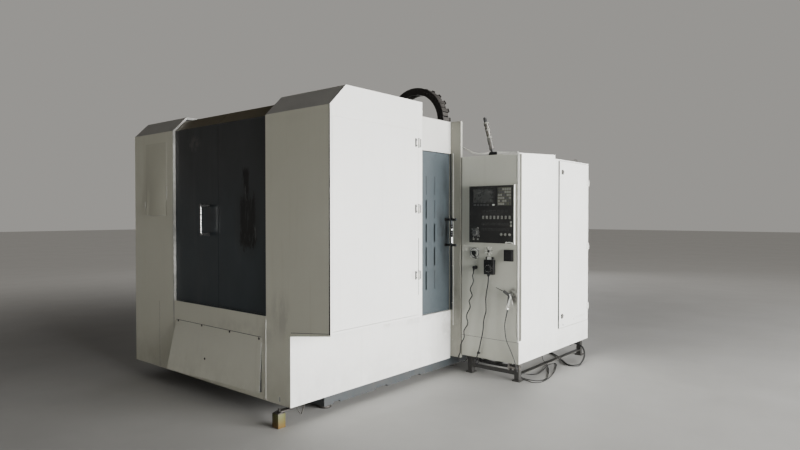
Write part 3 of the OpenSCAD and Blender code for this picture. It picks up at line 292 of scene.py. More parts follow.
def door_material(name, smear_and_reflection):
    """Dark glossy door paint with wipe marks and, on the right leaf, a dark patch that is the grease where hands pull
    it and painted reflection, with painted highlights.
    """
    g = G(name)
    base, high = (0.031, 0.044, 0.054), (0.040, 0.043, 0.046)
    up = g.rng(g.axis("z"), 1.25, 2.25, 0, 1)
    c = g.mix(g.rng(g.noise(1.3, 4, 0.6), 0.3, 0.7), g.mix(up, tint(base, 0.88), tint(high, 0.88)), g.mix(up, tint(base, 1.12), tint(high, 1.12)))
    c = g.mix(g.rng(g.noise(1.0, 5, 0.62, g.mapped((10, 10, 1.1))), 0.5, 0.8, 0, 0.35), c, (0.070, 0.076, 0.075))
    rough = g.rng(g.noise(3.2, 5, 0.6, g.mapped((1.0, 1.0, 0.5))), 0.3, 0.72, 0.30, 0.46)
    if smear_and_reflection:
        # a ragged dark patch where the leaf is pulled, grease and painted reflection, a narrow one above it and a soft
        # dull zone around both
        wx = g.math("SUBTRACT", g.noise(1.0, 6, 0.68, g.mapped((15, 15, 5.5), (3.1, 0, 0)), 1.0), 0.5)
        wz = g.math("SUBTRACT", g.noise(1.0, 6, 0.68, g.mapped((24, 24, 4.0), (9.4, 0, 1.7)), 1.0), 0.5)
        xd = g.math("ADD", g.axis("x"), g.math("MULTIPLY", wx, 0.15))
        zd = g.math("ADD", g.axis("z"), g.math("MULTIPLY", wz, 0.34))

        def patch(x0, x1, z0, z1, sx, sz):
            x0, x1 = V(1000 * x0, 0, 0)[0], V(1000 * x1, 0, 0)[0]
            px = g.math("MULTIPLY", g.rng(xd, x0, x0 + sx, 0, 1), g.rng(xd, x1 - sx, x1, 1, 0))
            pz = g.math("MULTIPLY", g.rng(zd, z0, z0 + sz, 0, 1), g.rng(zd, z1 - sz, z1, 1, 0))
            return g.math("MULTIPLY", px, pz)

        gaps = g.rng(g.noise(1.0, 6, 0.7, g.mapped((30, 30, 5.0), (5.2, 0, 0.6)), 1.2), 0.38, 0.47, 0.25, 1)
        m = g.math("MULTIPLY", g.math("MAXIMUM", patch(-0.690, -0.450, 1.31, 1.77, 0.035, 0.06), patch(-0.632, -0.540, 1.72, 1.99, 0.025, 0.05)), gaps)
        c = g.mix(g.math("MULTIPLY", g.near((-560, 28, 1560), (240, 60, 400)), 0.55), c, (0.012, 0.013, 0.014))
        c = g.mix(m, c, (0.0016, 0.0016, 0.0016))
        # painted highlights: thin light streaks in two small zones of the patch
        hz = g.math("MAXIMUM", g.near((-590, 28, 1800), (40, 60, 120)), g.near((-470, 28, 1440), (24, 60, 90)))
        hi = g.math("MULTIPLY", hz, g.rng(g.noise(1.0, 5, 0.7, g.mapped((60, 60, 5.0), (1.3, 0, 2.0)), 0.8), 0.50, 0.60, 0, 0.7))
        c = g.mix(hi, c, (0.13, 0.13, 0.13))
        rough = g.math("ADD", rough, g.math("MULTIPLY", m, 0.16))
    else:
        ring = g.near((-1370, 28, 2240), (150, 60, 90))
        m = g.math("MULTIPLY", ring, g.rng(g.noise(9, 6, 0.7, None, 1.2), 0.42, 0.60, 0, 0.75))
        c = g.mix(m, c, (0.085, 0.085, 0.083))
        rub = g.near((-1100, 28, 1560), (120, 60, 220))
        c = g.mix(g.math("MULTIPLY", rub, g.rng(g.noise(14, 5, 0.7, g.mapped((1, 1, 0.3))), 0.42, 0.66, 0, 0.4)), c, (0.045, 0.045, 0.044))
    c = g.mix(g.facing("z", 0.25, 0.6, 0.92), c, (0.30, 0.27, 0.20))
    g.put(g.b.inputs["Base Color"], c)
    g.put(g.b.inputs["Roughness"], rough)
    g.b.inputs["Specular IOR Level"].default_value = 0.3
    g.b.inputs["Coat Weight"].default_value = 0.3
    g.b.inputs["Coat Roughness"].default_value = 0.07
    nrm = g.bump(g.noise(300, 2, 0.5), 0.03, 0.0005)
    nrm = g.bump(g.noise(1.5, 2, 0.5), 0.06, 0.02, nrm)
    g.link(nrm, g.b.inputs["Normal"])
    return g.m


m_door_l = door_material("door_dark_left", False)
m_door_r = door_material("door_dark_right", True)


def glass_screen():
    g = G("screen_glass")
    c = g.mix(g.rng(g.noise(5, 4, 0.6), 0.3, 0.7), (0.040, 0.040, 0.037), (0.050, 0.050, 0.046))
    c = g.mix(g.rng(g.noise(60, 5, 0.7), 0.6, 0.8, 0, 0.12), c, (0.10, 0.098, 0.09))
    g.put(g.b.inputs["Base Color"], c)
    g.put(g.b.inputs["Roughness"], g.rng(g.noise(14, 5, 0.7), 0.35, 0.7, 0.24, 0.36))
    g.b.inputs["Coat Weight"].default_value = 0.2
    g.b.inputs["Coat Roughness"].default_value = 0.12
    g.link(g.bump(g.noise(420, 2), 0.04, 0.0004), g.b.inputs["Normal"])
    return g.m


def lens(name, a, b):
    g = G(name)
    c = g.mix(g.rng(g.noise(30, 4, 0.6), 0.35, 0.7), a, b)
    c = g.mix(g.rng(g.noise(90, 4, 0.7), 0.58, 0.75, 0, 0.5), c, (0.10, 0.09, 0.08))
    g.put(g.b.inputs["Base Color"], c)
    g.put(g.b.inputs["Roughness"], g.rng(g.noise(22, 4), 0.3, 0.7, 0.18, 0.34))
    g.b.inputs["Subsurface Weight"].default_value = 0.1
    g.b.inputs["Subsurface Radius"].default_value = (0.02, 0.012, 0.008)
    g.b.inputs["Coat Weight"].default_value = 0.5
    g.link(g.bump(g.noise(260, 2), 0.05, 0.0005), g.b.inputs["Normal"])
    return g.m


def bar_painted_highlight():
    """Round bar, bright metal on the side that faces +x and dark metal on the other: painted highlight and painted
    shade.
    """
    g = G("bar_painted_highlight")
    c = g.mix(g.rng(g.noise(40, 4, 0.6), 0.3, 0.7), (0.56, 0.56, 0.55), (0.70, 0.70, 0.68))
    # faces turned away from +x painted dark as shade; those facing +x keep the bright metal as painted highlight
    c = g.mix(g.facing("x", 0.40, 0.62, 1.0), g.mix(g.rng(g.noise(60, 4, 0.6), 0.3, 0.7), (0.022, 0.023, 0.024), (0.060, 0.060, 0.060)), c)
    g.put(g.b.inputs["Base Color"], c)
    g.b.inputs["Metallic"].default_value = 1.0
    g.put(g.b.inputs["Roughness"], g.rng(g.noise(30, 4, 0.6), 0.3, 0.7, 0.22, 0.34))
    g.link(g.bump(g.noise(300, 2), 0.03, 0.0004), g.b.inputs["Normal"])
    return g.m


m_bar = bar_painted_highlight()
m_glass = glass_screen()
m_lens = lens("lens_amber", (0.070, 0.064, 0.056), (0.135, 0.122, 0.105))
m_lens2 = lens("lens_pale", (0.085, 0.080, 0.073), (0.160, 0.150, 0.138))

node_mat = {
    "machine_base": m_cast, "levelling_feet": m_steel, "left_bay_shell": m_white, "right_bay_shell": m_white,
    "lower_front_panel": m_white, "front_cover_plate": m_cover, "right_wall_panel": m_wall, "roof_panel": m_white,
    "corner_strip": m_cream, "chamber_liner": m_inner, "door_rails": m_steel, "column": m_cream, "chain_guide": m_green,
    "magazine_housing": m_white, "coolant_tank": m_grey, "changer_post": m_cast, "cabinet_shell": m_cab, "cnc_bezel": m_panel,
    "display_screen": m_glass, "membrane_keys": m_key, "switch_plate": m_button, "outlet_cover": m_black, "pendant_case": m_black,
    "air_gun_body": m_gun, "signal_tower": m_tower, "signal_lenses": m_lens, "hinge_pins": m_button, "pendant_cable": m_cable,
    "wavy_cord": m_cable, "cord_plug": m_black, "air_hose": m_cable, "tower_conduit": m_conduit, "floor_hose": m_cable,
    "floor_cable": m_cable, "front_door_left": m_door_l, "front_door_handle": m_bar, "front_door_right": m_door_r,
    "side_access_door": m_white, "side_sliding_door": m_blue, "side_door_handle": m_grey, "cabinet_door": m_cab,
    "upper_lock": m_steel, "lower_lock": m_steel, "saddle": m_cast, "table_slide": m_cast, "rotary_table": m_steel,
    "changer_lift": m_steel, "pallet_changer": m_cast, "pallets": m_steel, "spindle_head": m_cream, "spindle": m_chrome,
    "drag_chain": m_chain, "magazine_wheel": m_steel, "override_dial": m_key, "main_switch": m_black, "cycle_start_button": m_button,
    "feed_hold_button": m_button, "program_stop_button": m_button, "handwheel": m_key2, "air_gun_trigger": m_chrome,
}
for name, ob in N.items():
    for slot in ob.material_slots:
        slot.material = node_mat[name]


# ---------------------------------------------------------------- mesh building
class B:
    """Collects closed shapes, in the drawing's millimetres, into one piece."""

    def __init__(s):
        s.bm = bmesh.new()
        s.mi = 0
        s.M = Matrix.Identity(4)

    def v(s, co):
        return s.bm.verts.new(s.M @ Vector(co))

    def f(s, vs):
        f = s.bm.faces.new(vs)
        f.material_index = s.mi
        return f

    def box(s, x0, x1, y0, y1, z0, z1):
        v = [s.v((x, y, z)) for x in (x0, x1) for y in (y0, y1) for z in (z0, z1)]
        for q in ((0, 1, 3, 2), (4, 6, 7, 5), (0, 4, 5, 1), (2, 3, 7, 6), (0, 2, 6, 4), (1, 5, 7, 3)):
            s.f([v[i] for i in q])

    def lathe(s, prof, o=(0, 0, 0), ax=(0, 0, 1), n=32, ring=False):
        q = Vector(ax).normalized().to_track_quat("Z", "Y").to_matrix()
        rings = []
        for r, h in prof:
            k = 1 if r < 1e-6 else n
            rings.append([s.v(Vector(o) + q @ Vector((r * cos(2 * pi * i / n), r * sin(2 * pi * i / n), h))) for i in range(k)])
        pairs = list(zip(rings, rings[1:])) + ([(rings[-1], rings[0])] if ring else [])
        for a, b in pairs:
            if len(a) == 1 and len(b) == 1:
                continue
            for i in range(n):
                j = (i + 1) % n
                if len(a) == 1:
                    s.f((a[0], b[i], b[j]))
                elif len(b) == 1:
                    s.f((a[i], a[j], b[0]))
                else:
                    s.f((a[i], a[j], b[j], b[i]))
        if not ring:
            for r in (rings[0], rings[-1]):
                if len(r) > 1:
                    s.f(r)

    def rod(s, a, b, r, n=16, c=0.0, r2=None):
        """A round bar from a to b with its ends broken by c."""
        a, b = Vector(a), Vector(b)
        h = (b - a).length
        r2 = r if r2 is None else r2
        prof = [(r, 0), (r2, h)] if not c else [(r - c, 0), (r, c), (r2, h - c), (r2 - c, h)]
        s.lathe(prof, a, b - a, n)

    def prism(s, poly, axis, lo, hi):
        def at(p, k):
            return {"x": (k, p[0], p[1]), "y": (p[0], k, p[1]), "z": (p[0], p[1], k)}[axis]
        a = [s.v(at(p, lo)) for p in poly]
        b = [s.v(at(p, hi)) for p in poly]
        s.f(a)
        s.f(b)
        for i in range(len(poly)):
            j = (i + 1) % len(poly)
            s.f((a[i], a[j], b[j], b[i]))

    def sweep(s, path, shape, ref=(0, 0, 1), cap=True):
        path = [Vector(p) for p in path]
        rings = []
        for i, p in enumerate(path):
            d = (path[min(i + 1, len(path) - 1)] - path[max(i - 1, 0)]).normalized()
            a = d.cross(Vector(ref)).normalized()
            b = a.cross(d)
            rings.append([s.v(p + a * u + b * w) for u, w in shape])
        m = len(shape)
        for r0, r1 in zip(rings, rings[1:]):
            for i in range(m):
                j = (i + 1) % m
                s.f((r0[i], r0[j], r1[j], r1[i]))
        if cap:
            s.f(rings[0])
            s.f(rings[-1])

    def tube(s, path, r, n=12, ref=(0.13, 0.21, 0.97)):
        s.sweep(path, [(r * cos(2 * pi * i / n), r * sin(2 * pi * i / n)) for i in range(n)], ref)

    def screw(s, p, d, r=6.0, h=3.0, kind="cross"):
        """A pan head screw at p that faces d, with its recess."""
        p, d = Vector(p), Vector(d).normalized()
        s.lathe([(r, 0), (r, h * 0.35), (r * 0.86, h * 0.75), (r * 0.55, h), (r * 0.38, h), (r * 0.34, h * 0.45), (0, h * 0.4)], p, d, 16)

    def hexagon(s, p, d, r=9.0, h=6.0):
        s.lathe([(r, 0), (r, h * 0.85), (r * 0.88, h), (0, h)], Vector(p), Vector(d), 6)

    def done(s, name, body, mats, bevel=0.0, seg=2, ang=32, sharp=34):
        bm = s.bm
        bmesh.ops.recalc_face_normals(bm, faces=bm.faces)
        if bevel:
            es = [e for e in bm.edges if len(e.link_faces) == 2 and e.calc_face_angle(0) > rad(ang)]
            bmesh.ops.bevel(bm, geom=es, offset=bevel, offset_type="OFFSET", segments=seg, profile=0.5, affect="EDGES", clamp_overlap=True)
        for v in bm.verts:
            v.co = V(*v.co)
        me = bpy.data.meshes.new(name)
        bm.to_mesh(me)
        bm.free()
        for m in mats if isinstance(mats, (list, tuple)) else [mats]:
            me.materials.append(m)
        me.polygons.foreach_set("use_smooth", [True] * len(me.polygons))
        me.set_sharp_from_angle(angle=rad(sharp))
        ob = bpy.data.objects.new(name, me)
        bpy.context.scene.collection.objects.link(ob)
        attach(ob, body)
        return ob


# ---------------------------------------------------------------- cords
def fine(route, k):
    p = [Vector(q) for q in route]
    out = []
    for i in range(len(p) - 1):
        a, b, c, d = p[max(i - 1, 0)], p[i], p[i + 1], p[min(i + 2, len(p) - 1)]
        for j in range(k):
            u = j / k
            out.append(0.5 * (2 * b + u * (c - a) + u * u * (2 * a - 5 * b + 4 * c - d) + u ** 3 * (3 * b - a - 3 * c + d)))
    return out + [p[-1]]


pendant_route = [(469, 2071, 998), (468, 2071, 960), (462, 2072, 920), (451, 2073, 870), (442, 2074, 820),
                 (437, 2075, 765), (440, 2075, 705), (440, 2075, 655), (426, 2075, 610), (414, 2075, 560), (409, 2075, 490),
                 (399, 2075, 430), (386, 2075, 373), (371, 2075, 310), (357, 2075, 256), (340, 2074, 205), (326, 2076, 162),
                 (316, 2090, 124), (308, 2120, 106), (305, 2144, 116), (305, 2151, 134), (305, 2152, 150), (305, 2152, 165)]
wavy_route = [(304, 2060, 1042), (304, 2060, 1036), (304, 2060, 1030), (300, 2060, 1016), (293, 2061, 998), (298, 2062, 972), (302, 2064, 945),
              (288, 2066, 912), (268, 2068, 880), (262, 2069, 850), (276, 2070, 822), (282, 2070, 796), (264, 2070, 768),
              (247, 2071, 740), (256, 2071, 708), (258, 2071, 676), (238, 2071, 640), (218, 2072, 602), (217, 2072, 566),
              (230, 2072, 534), (226, 2072, 502), (204, 2072, 470), (185, 2072, 436), (186, 2072, 402), (187, 2072, 370),
              (168, 2072, 332), (149, 2072, 294), (143, 2072, 250), (138, 2072, 208), (120, 2074, 172), (108, 2086, 138),
              (118, 2108, 112), (140, 2132, 104), (164, 2149, 126), (169, 2152, 145), (170, 2152, 155),
              (170, 2152, 165)]
hose_route = [(684, 2064, 702), (684, 2064, 694), (684, 2064, 686), (678, 2065, 664), (670, 2067, 636), (660, 2069, 600), (653, 2070, 560),
              (652, 2071, 515), (657, 2072, 465), (667, 2072, 412), (684, 2072, 372), (703, 2072, 336), (722, 2072, 298),
              (742, 2072, 256), (758, 2073, 215), (767, 2075, 176), (768, 2086, 140), (762, 2110, 112), (752, 2136, 116),
              (746, 2149, 138), (744, 2150, 152), (744, 2150, 165)]
conduit_route = [(-118, 2190, 2404), (-90, 2190, 2401), (-60, 2190, 2391), (-30, 2190, 2372), (0, 2190, 2349),
                 (30, 2190, 2327), (60, 2190, 2306), (92, 2190, 2287), (126, 2190, 2269), (160, 2190, 2253), (186, 2190, 2240),
                 (210, 2192, 2229), (238, 2195, 2220), (267, 2202, 2214), (291, 2213, 2213), (313, 2228, 2214), (332, 2245, 2217),
                 (349, 2264, 2222), (363, 2283, 2226)]
hose2_route = [(706, 3468, 158), (740, 3468, 157), (786, 3468, 150), (832, 3460, 128), (868, 3424, 94),
               (898, 3356, 58), (915, 3280, 31), (926, 3205, 14), (936, 3140, 10.5), (926, 3082, 10.5), (884, 3050, 10.5),
               (826, 3068, 10.5), (756, 3150, 10.5), (681, 3242, 10.5), (600, 3330, 10.5), (504, 3420, 10.5), (400, 3470, 10.5),
               (290, 3474, 10.5), (180, 3440, 10.5), (80, 3380, 10.5), (-10, 3300, 14), (-90, 3226, 30), (-160, 3176, 58),
               (-214, 3154, 78), (-250, 3150, 80)]
cable_route = [(560, 3020, 165), (560, 3020, 120), (562, 3024, 72), (570, 3026, 32), (592, 3018, 10), (629, 2982, 5),
               (685, 2900, 5), (752, 2790, 5), (809, 2683, 5), (864, 2548, 5), (902, 2440, 5), (900, 2350, 5), (846, 2296, 5),
               (768, 2288, 5), (696, 2320, 5), (650, 2390, 5), (664, 2450, 5), (712, 2468, 5), (752, 2498, 5), (762, 2560, 5),
               (750, 2633, 5), (728, 2750, 8), (708, 2830, 13), (694, 2910, 12), (686, 2984, 6), (700, 3040, 5), (744, 3000, 5),
               (809, 2841, 5), (871, 2658, 5), (914, 2472, 5), (926, 2340, 5), (912, 2262, 5), (866, 2226, 5), (812, 2238, 6),
               (760, 2252, 8), (710, 2256, 20), (672, 2248, 50), (652, 2241, 100), (650, 2240, 165)]


def lay_cord(name, route, r, mat, node):
    pts = [V(*p) for p in fine(route, 6)]
    cu = bpy.data.curves.new(name, "CURVE")
    cu.dimensions = "3D"
    cu.bevel_depth = r / 1000
    cu.bevel_resolution = 3
    cu.use_fill_caps = True
    sp = cu.splines.new("POLY")
    sp.points.add(len(pts) - 1)
    for q, p in zip(sp.points, pts):
        q.co = (*p, 1)
    sp.use_smooth = True
    cu.materials.append(mat)
    ob = bpy.data.objects.new(name, cu)
    bpy.context.scene.collection.objects.link(ob)
    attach(ob, "frame")
    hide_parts(node)
    return ob


plug = B()
plug.lathe([(10, 0), (13, 2), (15, 6), (15, 16), (14, 18), (14, 24), (15, 26), (15, 30), (16, 31), (16, 44), (18, 45), (18, 52), (17, 54)],
           (311, 2045, 1080), (0, 1, 0), 32)
for i in range(12):
    a = 2 * pi * i / 12
    plug.rod((311 + 15.4 * cos(a), 2052, 1080 + 15.4 * sin(a)), (311 + 15.4 * cos(a), 2060, 1080 + 15.4 * sin(a)), 1.3, 6)
plug.lathe([(5.2, 0), (6.4, 1.5), (6.2, 5), (7.6, 6.5), (7.4, 10), (8.8, 11.5), (8.6, 15), (10, 16.5), (10.6, 26)], (304, 2060, 1042), (0.12, 0.02, 1), 20)
plug_ob = plug.done("cord_plug_cap", "frame", m_black)
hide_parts("cord_plug")

lay_cord("pendant_lead", pendant_route, 6, m_cable, "pendant_cable")
lay_cord("wavy_lead", wavy_route[::-1], 6, m_cable, "wavy_cord")
lay_cord("air_line", hose_route, 5, m_cable, "air_hose")
lay_cord("tower_line", conduit_route, 9, m_conduit, "tower_conduit")
lay_cord("floor_line", hose2_route, 9, m_cable, "floor_hose")
lay_cord("floor_lead", cable_route, 3.5, m_cable, "floor_cable")


# ---------------------------------------------------------------- front
# bowed cover on the left bay, standing off at its lower edge
b = B()
nx, nz = 20, 22
x0, x1, z0, z1 = -2185, -1808, 1590, 2290


def cover_y(u, w):
    """How far the cover stands in front of the sheet: most at the lower edge, curled at its left."""
    low = (1 - w) ** 2.2
    y = -1.0 - 25.0 * low * sin(pi * min(1, 0.12 + 0.8 * u)) - 3.5 * sin(pi * w) * sin(pi * u)
    y -= 15.0 * max(0.0, 1 - abs(u - 0.09) / 0.10) * max(0, 1 - w / 0.55) ** 1.3
    return y


grid = {}
for side, off in ((0, 0), (1, 1.2)):
    for j in range(nz + 1):
        for i in range(nx + 1):
            u, w = i / nx, j / nz
            skew = -26 * (1 - u) ** 3 * (w if w < 0.5 else 0.5)
            x = x0 + skew + (x1 - x0 - skew) * u
            z = z0 + (z1 - z0) * w + (4 * sin(3 * pi * u) if j == 0 else 0)
            grid[side, i, j] = b.v((x, cover_y(u, w) + off, z))
for j in range(nz):
    for i in range(nx):
        b.f([grid[0, i, j], grid[0, i + 1, j], grid[0, i + 1, j + 1], grid[0, i, j + 1]])
        b.f([grid[1, i, j], grid[1, i, j + 1], grid[1, i + 1, j + 1], grid[1, i + 1, j]])
for i in range(nx):
    for j in (0, nz):
        b.f([grid[0, i, j], grid[1, i, j], grid[1, i + 1, j], grid[0, i + 1, j]])
for j in range(nz):
    for i in (0, nx):
        b.f([grid[0, i, j], grid[0, i, j + 1], grid[1, i, j + 1], grid[1, i, j]])
# rolled lower hem that catches the light
b.tube([(x0 + 40 + (x1 - x0 - 52) * k / 16, cover_y(0.1 + 0.87 * k / 16, 0) - 0.6, z0 + 1 + 4 * sin(3 * pi * (0.1 + 0.87 * k / 16))) for k in range(17)], 2.6, 8)
b.tube([(-2190 + 40 * k / 8, -16 - 5 * sin(pi * k / 8), 1722 - 132 * (k / 8) ** 1.2) for k in range(9)], 2.2, 8)
# upright hem at its right
b.tube([(-1800, -1.5, z) for z in range(1745, 1880, 15)], 1.8, 8)
b.done("bay_cover_sheet", "frame", m_cover, sharp=50)

# screws of the front sheets
def cover_out(x, z):
    u, w = (x + 1640) / 1285, (624 - z) / 444
    return -(w * (20 + 78 * max(0, 1 - u) ** 1.6) + 6 * sin(pi * u) * w)


b = B()
for x, z in ((-1600, 618), (-1210, 618), (-787, 615), (-384, 611), (-1108, 343)):
    b.lathe([(11, -1.5), (11, 0.6), (9, 1.6), (0, 1.6)], (x, cover_out(x, z) - 2, z), (0, -1, 0), 20)
    b.screw((x, cover_out(x, z) - 3.4, z), (0, -1, 0), 7, 3.6)
b.done("cover_screws", "frame", m_dark_screw)

b = B()
b.box(-1640, -355, -1.6, 0.1, 624.2, 627.4)
# thin dark sloping line below the overhang's front edge: painted shadow of the overhang
b.prism([(8, 703), (438, 749), (438, 752.5), (8, 706.5)], "y", -0.7, 0.1)
b.prism([(426, 742), (439, 742), (439, 2384), (430, 2384)], "y", -0.5, 0.1)
b.box(-1949.8, -1948.2, -0.3, 0.6, 134, 768)
b.done("front_gap_and_shadow_lines", "frame", m_gap)
b = B()
b.box(439.6, 441.0, -0.5, 5.0, 734, 2384)
b.prism([(-300, -0.2), (-294.6, -0.2), (-299.8, -4.6)], "z", 140, 768)
b.done("bay_edge_bead", "frame", m_mark, bevel=0.4)
# white fillets that close the gap around the access door, so it shows no dark line: painted light over the gap
b = B()
b.box(433, 439.4, 22.1, 24.7, 762, 2305)
b.box(433, 439.4, 24.7, 1003.1, 2302.3, 2304.9)
b.box(433, 439.4, 1003.3, 1005.9, 762, 2305)
b.done("jamb_fillets", "frame", m_white, bevel=0.3)

# dark wedge behind the cover's right edge, wider where the cover stands off: the painted shadow of that edge
b = B()
path = [(-357, -0.3 - 9.5 * k / 12, 618 - 430 * k / 12) for k in range(13)]
rings = []
for k, p in enumerate(path):
    h = 0.4 + 9.3 * k / 12
    w = 5 + 6 * k / 12
    rings.append([b.v((p[0] - w, -h * 2 + 0.4, p[2])), b.v((p[0] + 1.4, -h * 2 + 0.4, p[2])), b.v((p[0] + 1.4, -0.1, p[2])), b.v((p[0] - w, -0.1, p[2]))])
for r0, r1 in zip(rings, rings[1:]):
    for i in range(4):
        b.f((r0[i], r0[(i + 1) % 4], r1[(i + 1) % 4], r1[i]))
b.f(rings[0])
b.f(rings[-1])
b.done("cover_edge_shadow", "frame", m_rubber, bevel=0.3)

# lower sheet: seam screws
b = B()
for x in (-1930, -1500, -1080, -640, -320):
    b.screw((x, 0, 150), (0, -1, 0), 5.5, 2.8)
for z in (200, 420, 640):
    b.screw((-1932, 0, z), (0, -1, 0), 5.0, 2.5)
for z in (230, 470, 700):
    b.screw((-60, 0, z), (0, -1, 0), 4.5, 2.2)
for y in (120, 620, 1120, 1620, 2060):
    b.screw((0, y, 152), (1, 0, 0), 5.0, 2.5)
for y in (130, 520, 930):
    b.screw((220, y, 740), (0, 0, -1), 5.0, 2.5)
b.done("sheet_screws", "frame", m_cover)

# seals along the meeting edge of the front doors
b = B()
b.prism([(-990.9, 34), (-988.0, 31), (-988.0, 55), (-990.9, 52)], "z", 793, 2372)
for k in range(40):
    b.lathe([(0.9, 0), (0.9, 36)], (-990.7, 43, 796 + k * 39.4), (0, 0, 1), 8)
b.done("door_seal", "right_leaf", m_rubber)

# ---- front handle: flanges, screws and rounded ends
b = B()
for z in (1430, 1680):
    b.lathe([(19, 0), (19, 2.2), (17, 3.6), (11, 4.4), (9.2, 8), (8.6, 8)], (-1140, 28, z), (0, -1, 0), 32)
    for a in (45, 135, 225, 315):
        b.screw((-1140 + 14.2 * cos(rad(a)), 24.4, z + 14.2 * sin(rad(a))), (0, -1, 0), 2.6, 1.6)
    b.lathe([(9.4, -10.6), (10.6, -9), (10.8, 0), (10.6, 9), (9.4, 10.6)], (-1140, -50, z), (0, 0, 1), 32)
    b.lathe([(8.2, 8), (10.4, 10), (10.4, 64), (8.2, 66)], (-1140, 28, z), (0, -1, 0), 28, ring=True)
for z, s in ((1422, -1), (1688, 1)):
    b.lathe([(10.2, 0), (9.6, 3), (7.4, 5.8), (3.4, 7.6), (0, 8)], (-1140, -50, z), (0, 0, s), 28)
b.done("front_handle_trim", "left_leaf", m_gun)

# ---- door edge beads that frame each leaf
for nm, body, xa, xb, mt in (("leaf_hem_left", "left_leaf", -1694, -994, m_door_l), ("leaf_hem_right", "right_leaf", -986, -286, m_door_r)):
    b = B()
    b.box(xa, xb, 26.0, 28.3, 791, 806)
    b.prism([(26.6, 2376), (28.4, 2376), (28.4, 2386), (26.6, 2385)], "x", xa, xb)
    b.done(nm, body, mt, bevel=0.7)


# ---------------------------------------------------------------- right side: hinges, seams and straps
# dark plates along the edges of each hinge: painted shadow outlines of the hinges; their screws and pin caps are dark
# too
for nm, body, ys, mt in (("hinge_edge_door", "access_door", (966.0, 973.4), m_gap), ("hinge_edge_frame", "frame", (1033.4, 1041.0), m_gap)):
    b = B()
    for z in (1095, 1650, 2200):
        b.box(440.0, 443.6, ys[0], ys[1], z - 34.6, z + 34.6)
        yy = 984 if body == "access_door" else 1024
        for k in (-22, 22):
            b.screw((443, yy, z + k), (1, 0, 0), 5.4, 1.8)
        if body == "frame":
            for k in (-34, 34):
                b.lathe([(5.4, 0), (6.4, 1.2), (6.4, 3.0), (4.6, 4.4), (0, 4.8)], (447, 1007, z + k), (0, 0, 1 if k > 0 else -1), 20)
    for z in (1095, 1650, 2200):
        ya, yb = (965.5, 979.5) if body == "access_door" else (1016, 1027)
        b.box(443.05, 444.1, ya, yb, z - 35, z + 35)
    b.done(nm, body, mt, bevel=0.4)

# upright dark lines by the lowest hinge: painted thin shadow lines, drawn as thin tubes
b = B()
b.tube([(440.4, 1010.5, z) for z in range(1135, 1420, 15)], 2.2, 6)
b.tube([(440.4, 1010.5, z) for z in range(930, 1058, 15)], 1.5, 6)
b.done("hinge_shadow_lines", "frame", m_dark_screw)

# strap that hangs below the front right corner
b = B()
strap = [(-10, 40, 131), (-10, 52, 128), (-10, 64, 123), (-10, 80, 98), (-10, 96, 72), (-10, 108, 57), (-10, 114, 56), (-10, 122, 70), (-10, 131, 88), (-10, 138, 105), (-10, 142, 120), (-10, 144, 130)]
b.sweep(fine(strap, 3), [(-0.8, -6), (0.8, -6), (0.8, 6), (-0.8, 6)], (1, 0, 0))
b.done("corner_strap", "frame", m_tower, bevel=0.3)

# side door: rivets, handle trim and grip
b = B()
for y in (1110, 1350, 1600, 1850, 2050):
    b.screw((-15, y, 2190), (1, 0, 0), 4.4, 2.0)
    b.screw((-15, y, 650), (1, 0, 0), 4.4, 2.0)
b.done("side_door_rivets", "sliding_door", m_blue)
b = B()
for z, y in ((1294, 2030), (1552, 2030)):
    b.lathe([(18, 0), (18, 2.4), (15, 4), (10, 5), (8.6, 9), (8.2, 9)], (-15, y, z), (1, 0, 0), 28)
    b.lathe([(9.6, -10.8), (10.8, -9), (11, 0), (10.8, 9), (9.6, 10.8)], (62, y, z), (0, 0, 1), 28)
for z, s in ((1284, -1), (1562, 1)):
    b.lathe([(10.2, 0), (9.6, 3), (7.2, 6), (3, 7.8), (0, 8.2)], (62, 2030, z), (0, 0, s), 28)
for z in (1294, 1552):
    b.lathe([(8.3, 0), (12.5, 2), (12.5, 54), (8.3, 58)], (-12, 2030, z), (1, 0, 0), 24, ring=True)
    b.lathe([(8.3, 0), (12.5, 2), (12.5, 38), (8.3, 42)], (76, 2030, z), (1, 0, 0), 24, ring=True)
b.done("side_handle_trim", "sliding_door", m_black)
b = B()
for k in range(9):
    z = 1318 + k * 21
    # the grip's rings are chrome where its highlights show and black elsewhere: painted highlight and shade on one bar
    b.mi = 0 if k in (0, 1, 2, 6) else 1
    b.lathe([(10.0, 0), (11.2, 1.5), (11.2, 14), (10.0, 15.5)], (62, 2030, z), (0, 0, 1), 24)
b.done("side_handle_grip", "sliding_door", [m_chrome, m_black])

# corner strip: fold line, screws
b = B()
for z in (320, 700, 1080, 1460, 1840, 2220, 2480):
    b.screw((22, 2099, z), (0, -1, 0), 5, 2.4)
b.done("strip_screws", "frame", m_cream)
b = B()
# dark wedge at the corner strip's edge: the gap and the side door's edge in shade, painted dark
b.prism([(-5, 2222), (9, 2222), (27, 628), (-5, 628)], "y", 2098.3, 2099.1)
b.done("strip_gap_and_shade_wedge", "frame", m_shade)
b = B()
# grey fillers: the first in the seam behind the corner strip, the two at x 754 laid on the console box's lit side face
# as painted shade
b.box(124.4, 142.7, 2104, 2107, 190, 2178)
b.box(754.05, 754.9, 2077, 2099, 1321, 1885)
b.box(754.05, 754.9, 2060.5, 2062.5, 1321, 1885)
b.done("seam_and_shade_fillers", "frame", m_inlay2)
b = B()
for y in (1168, 1303, 1438, 1573, 1708, 1843):
    b.box(-18, -16.4, y - 9.7, y + 9.7, 1796, 1978)
for r_ in (0, 3):
    b.box(-18, -16.8, 1843 - 9.7, 1843 + 9.7, 864 + r_ * 233, 1046 + r_ * 233)
b.done("louvre_blanks", "sliding_door", m_blue2)
b = B()
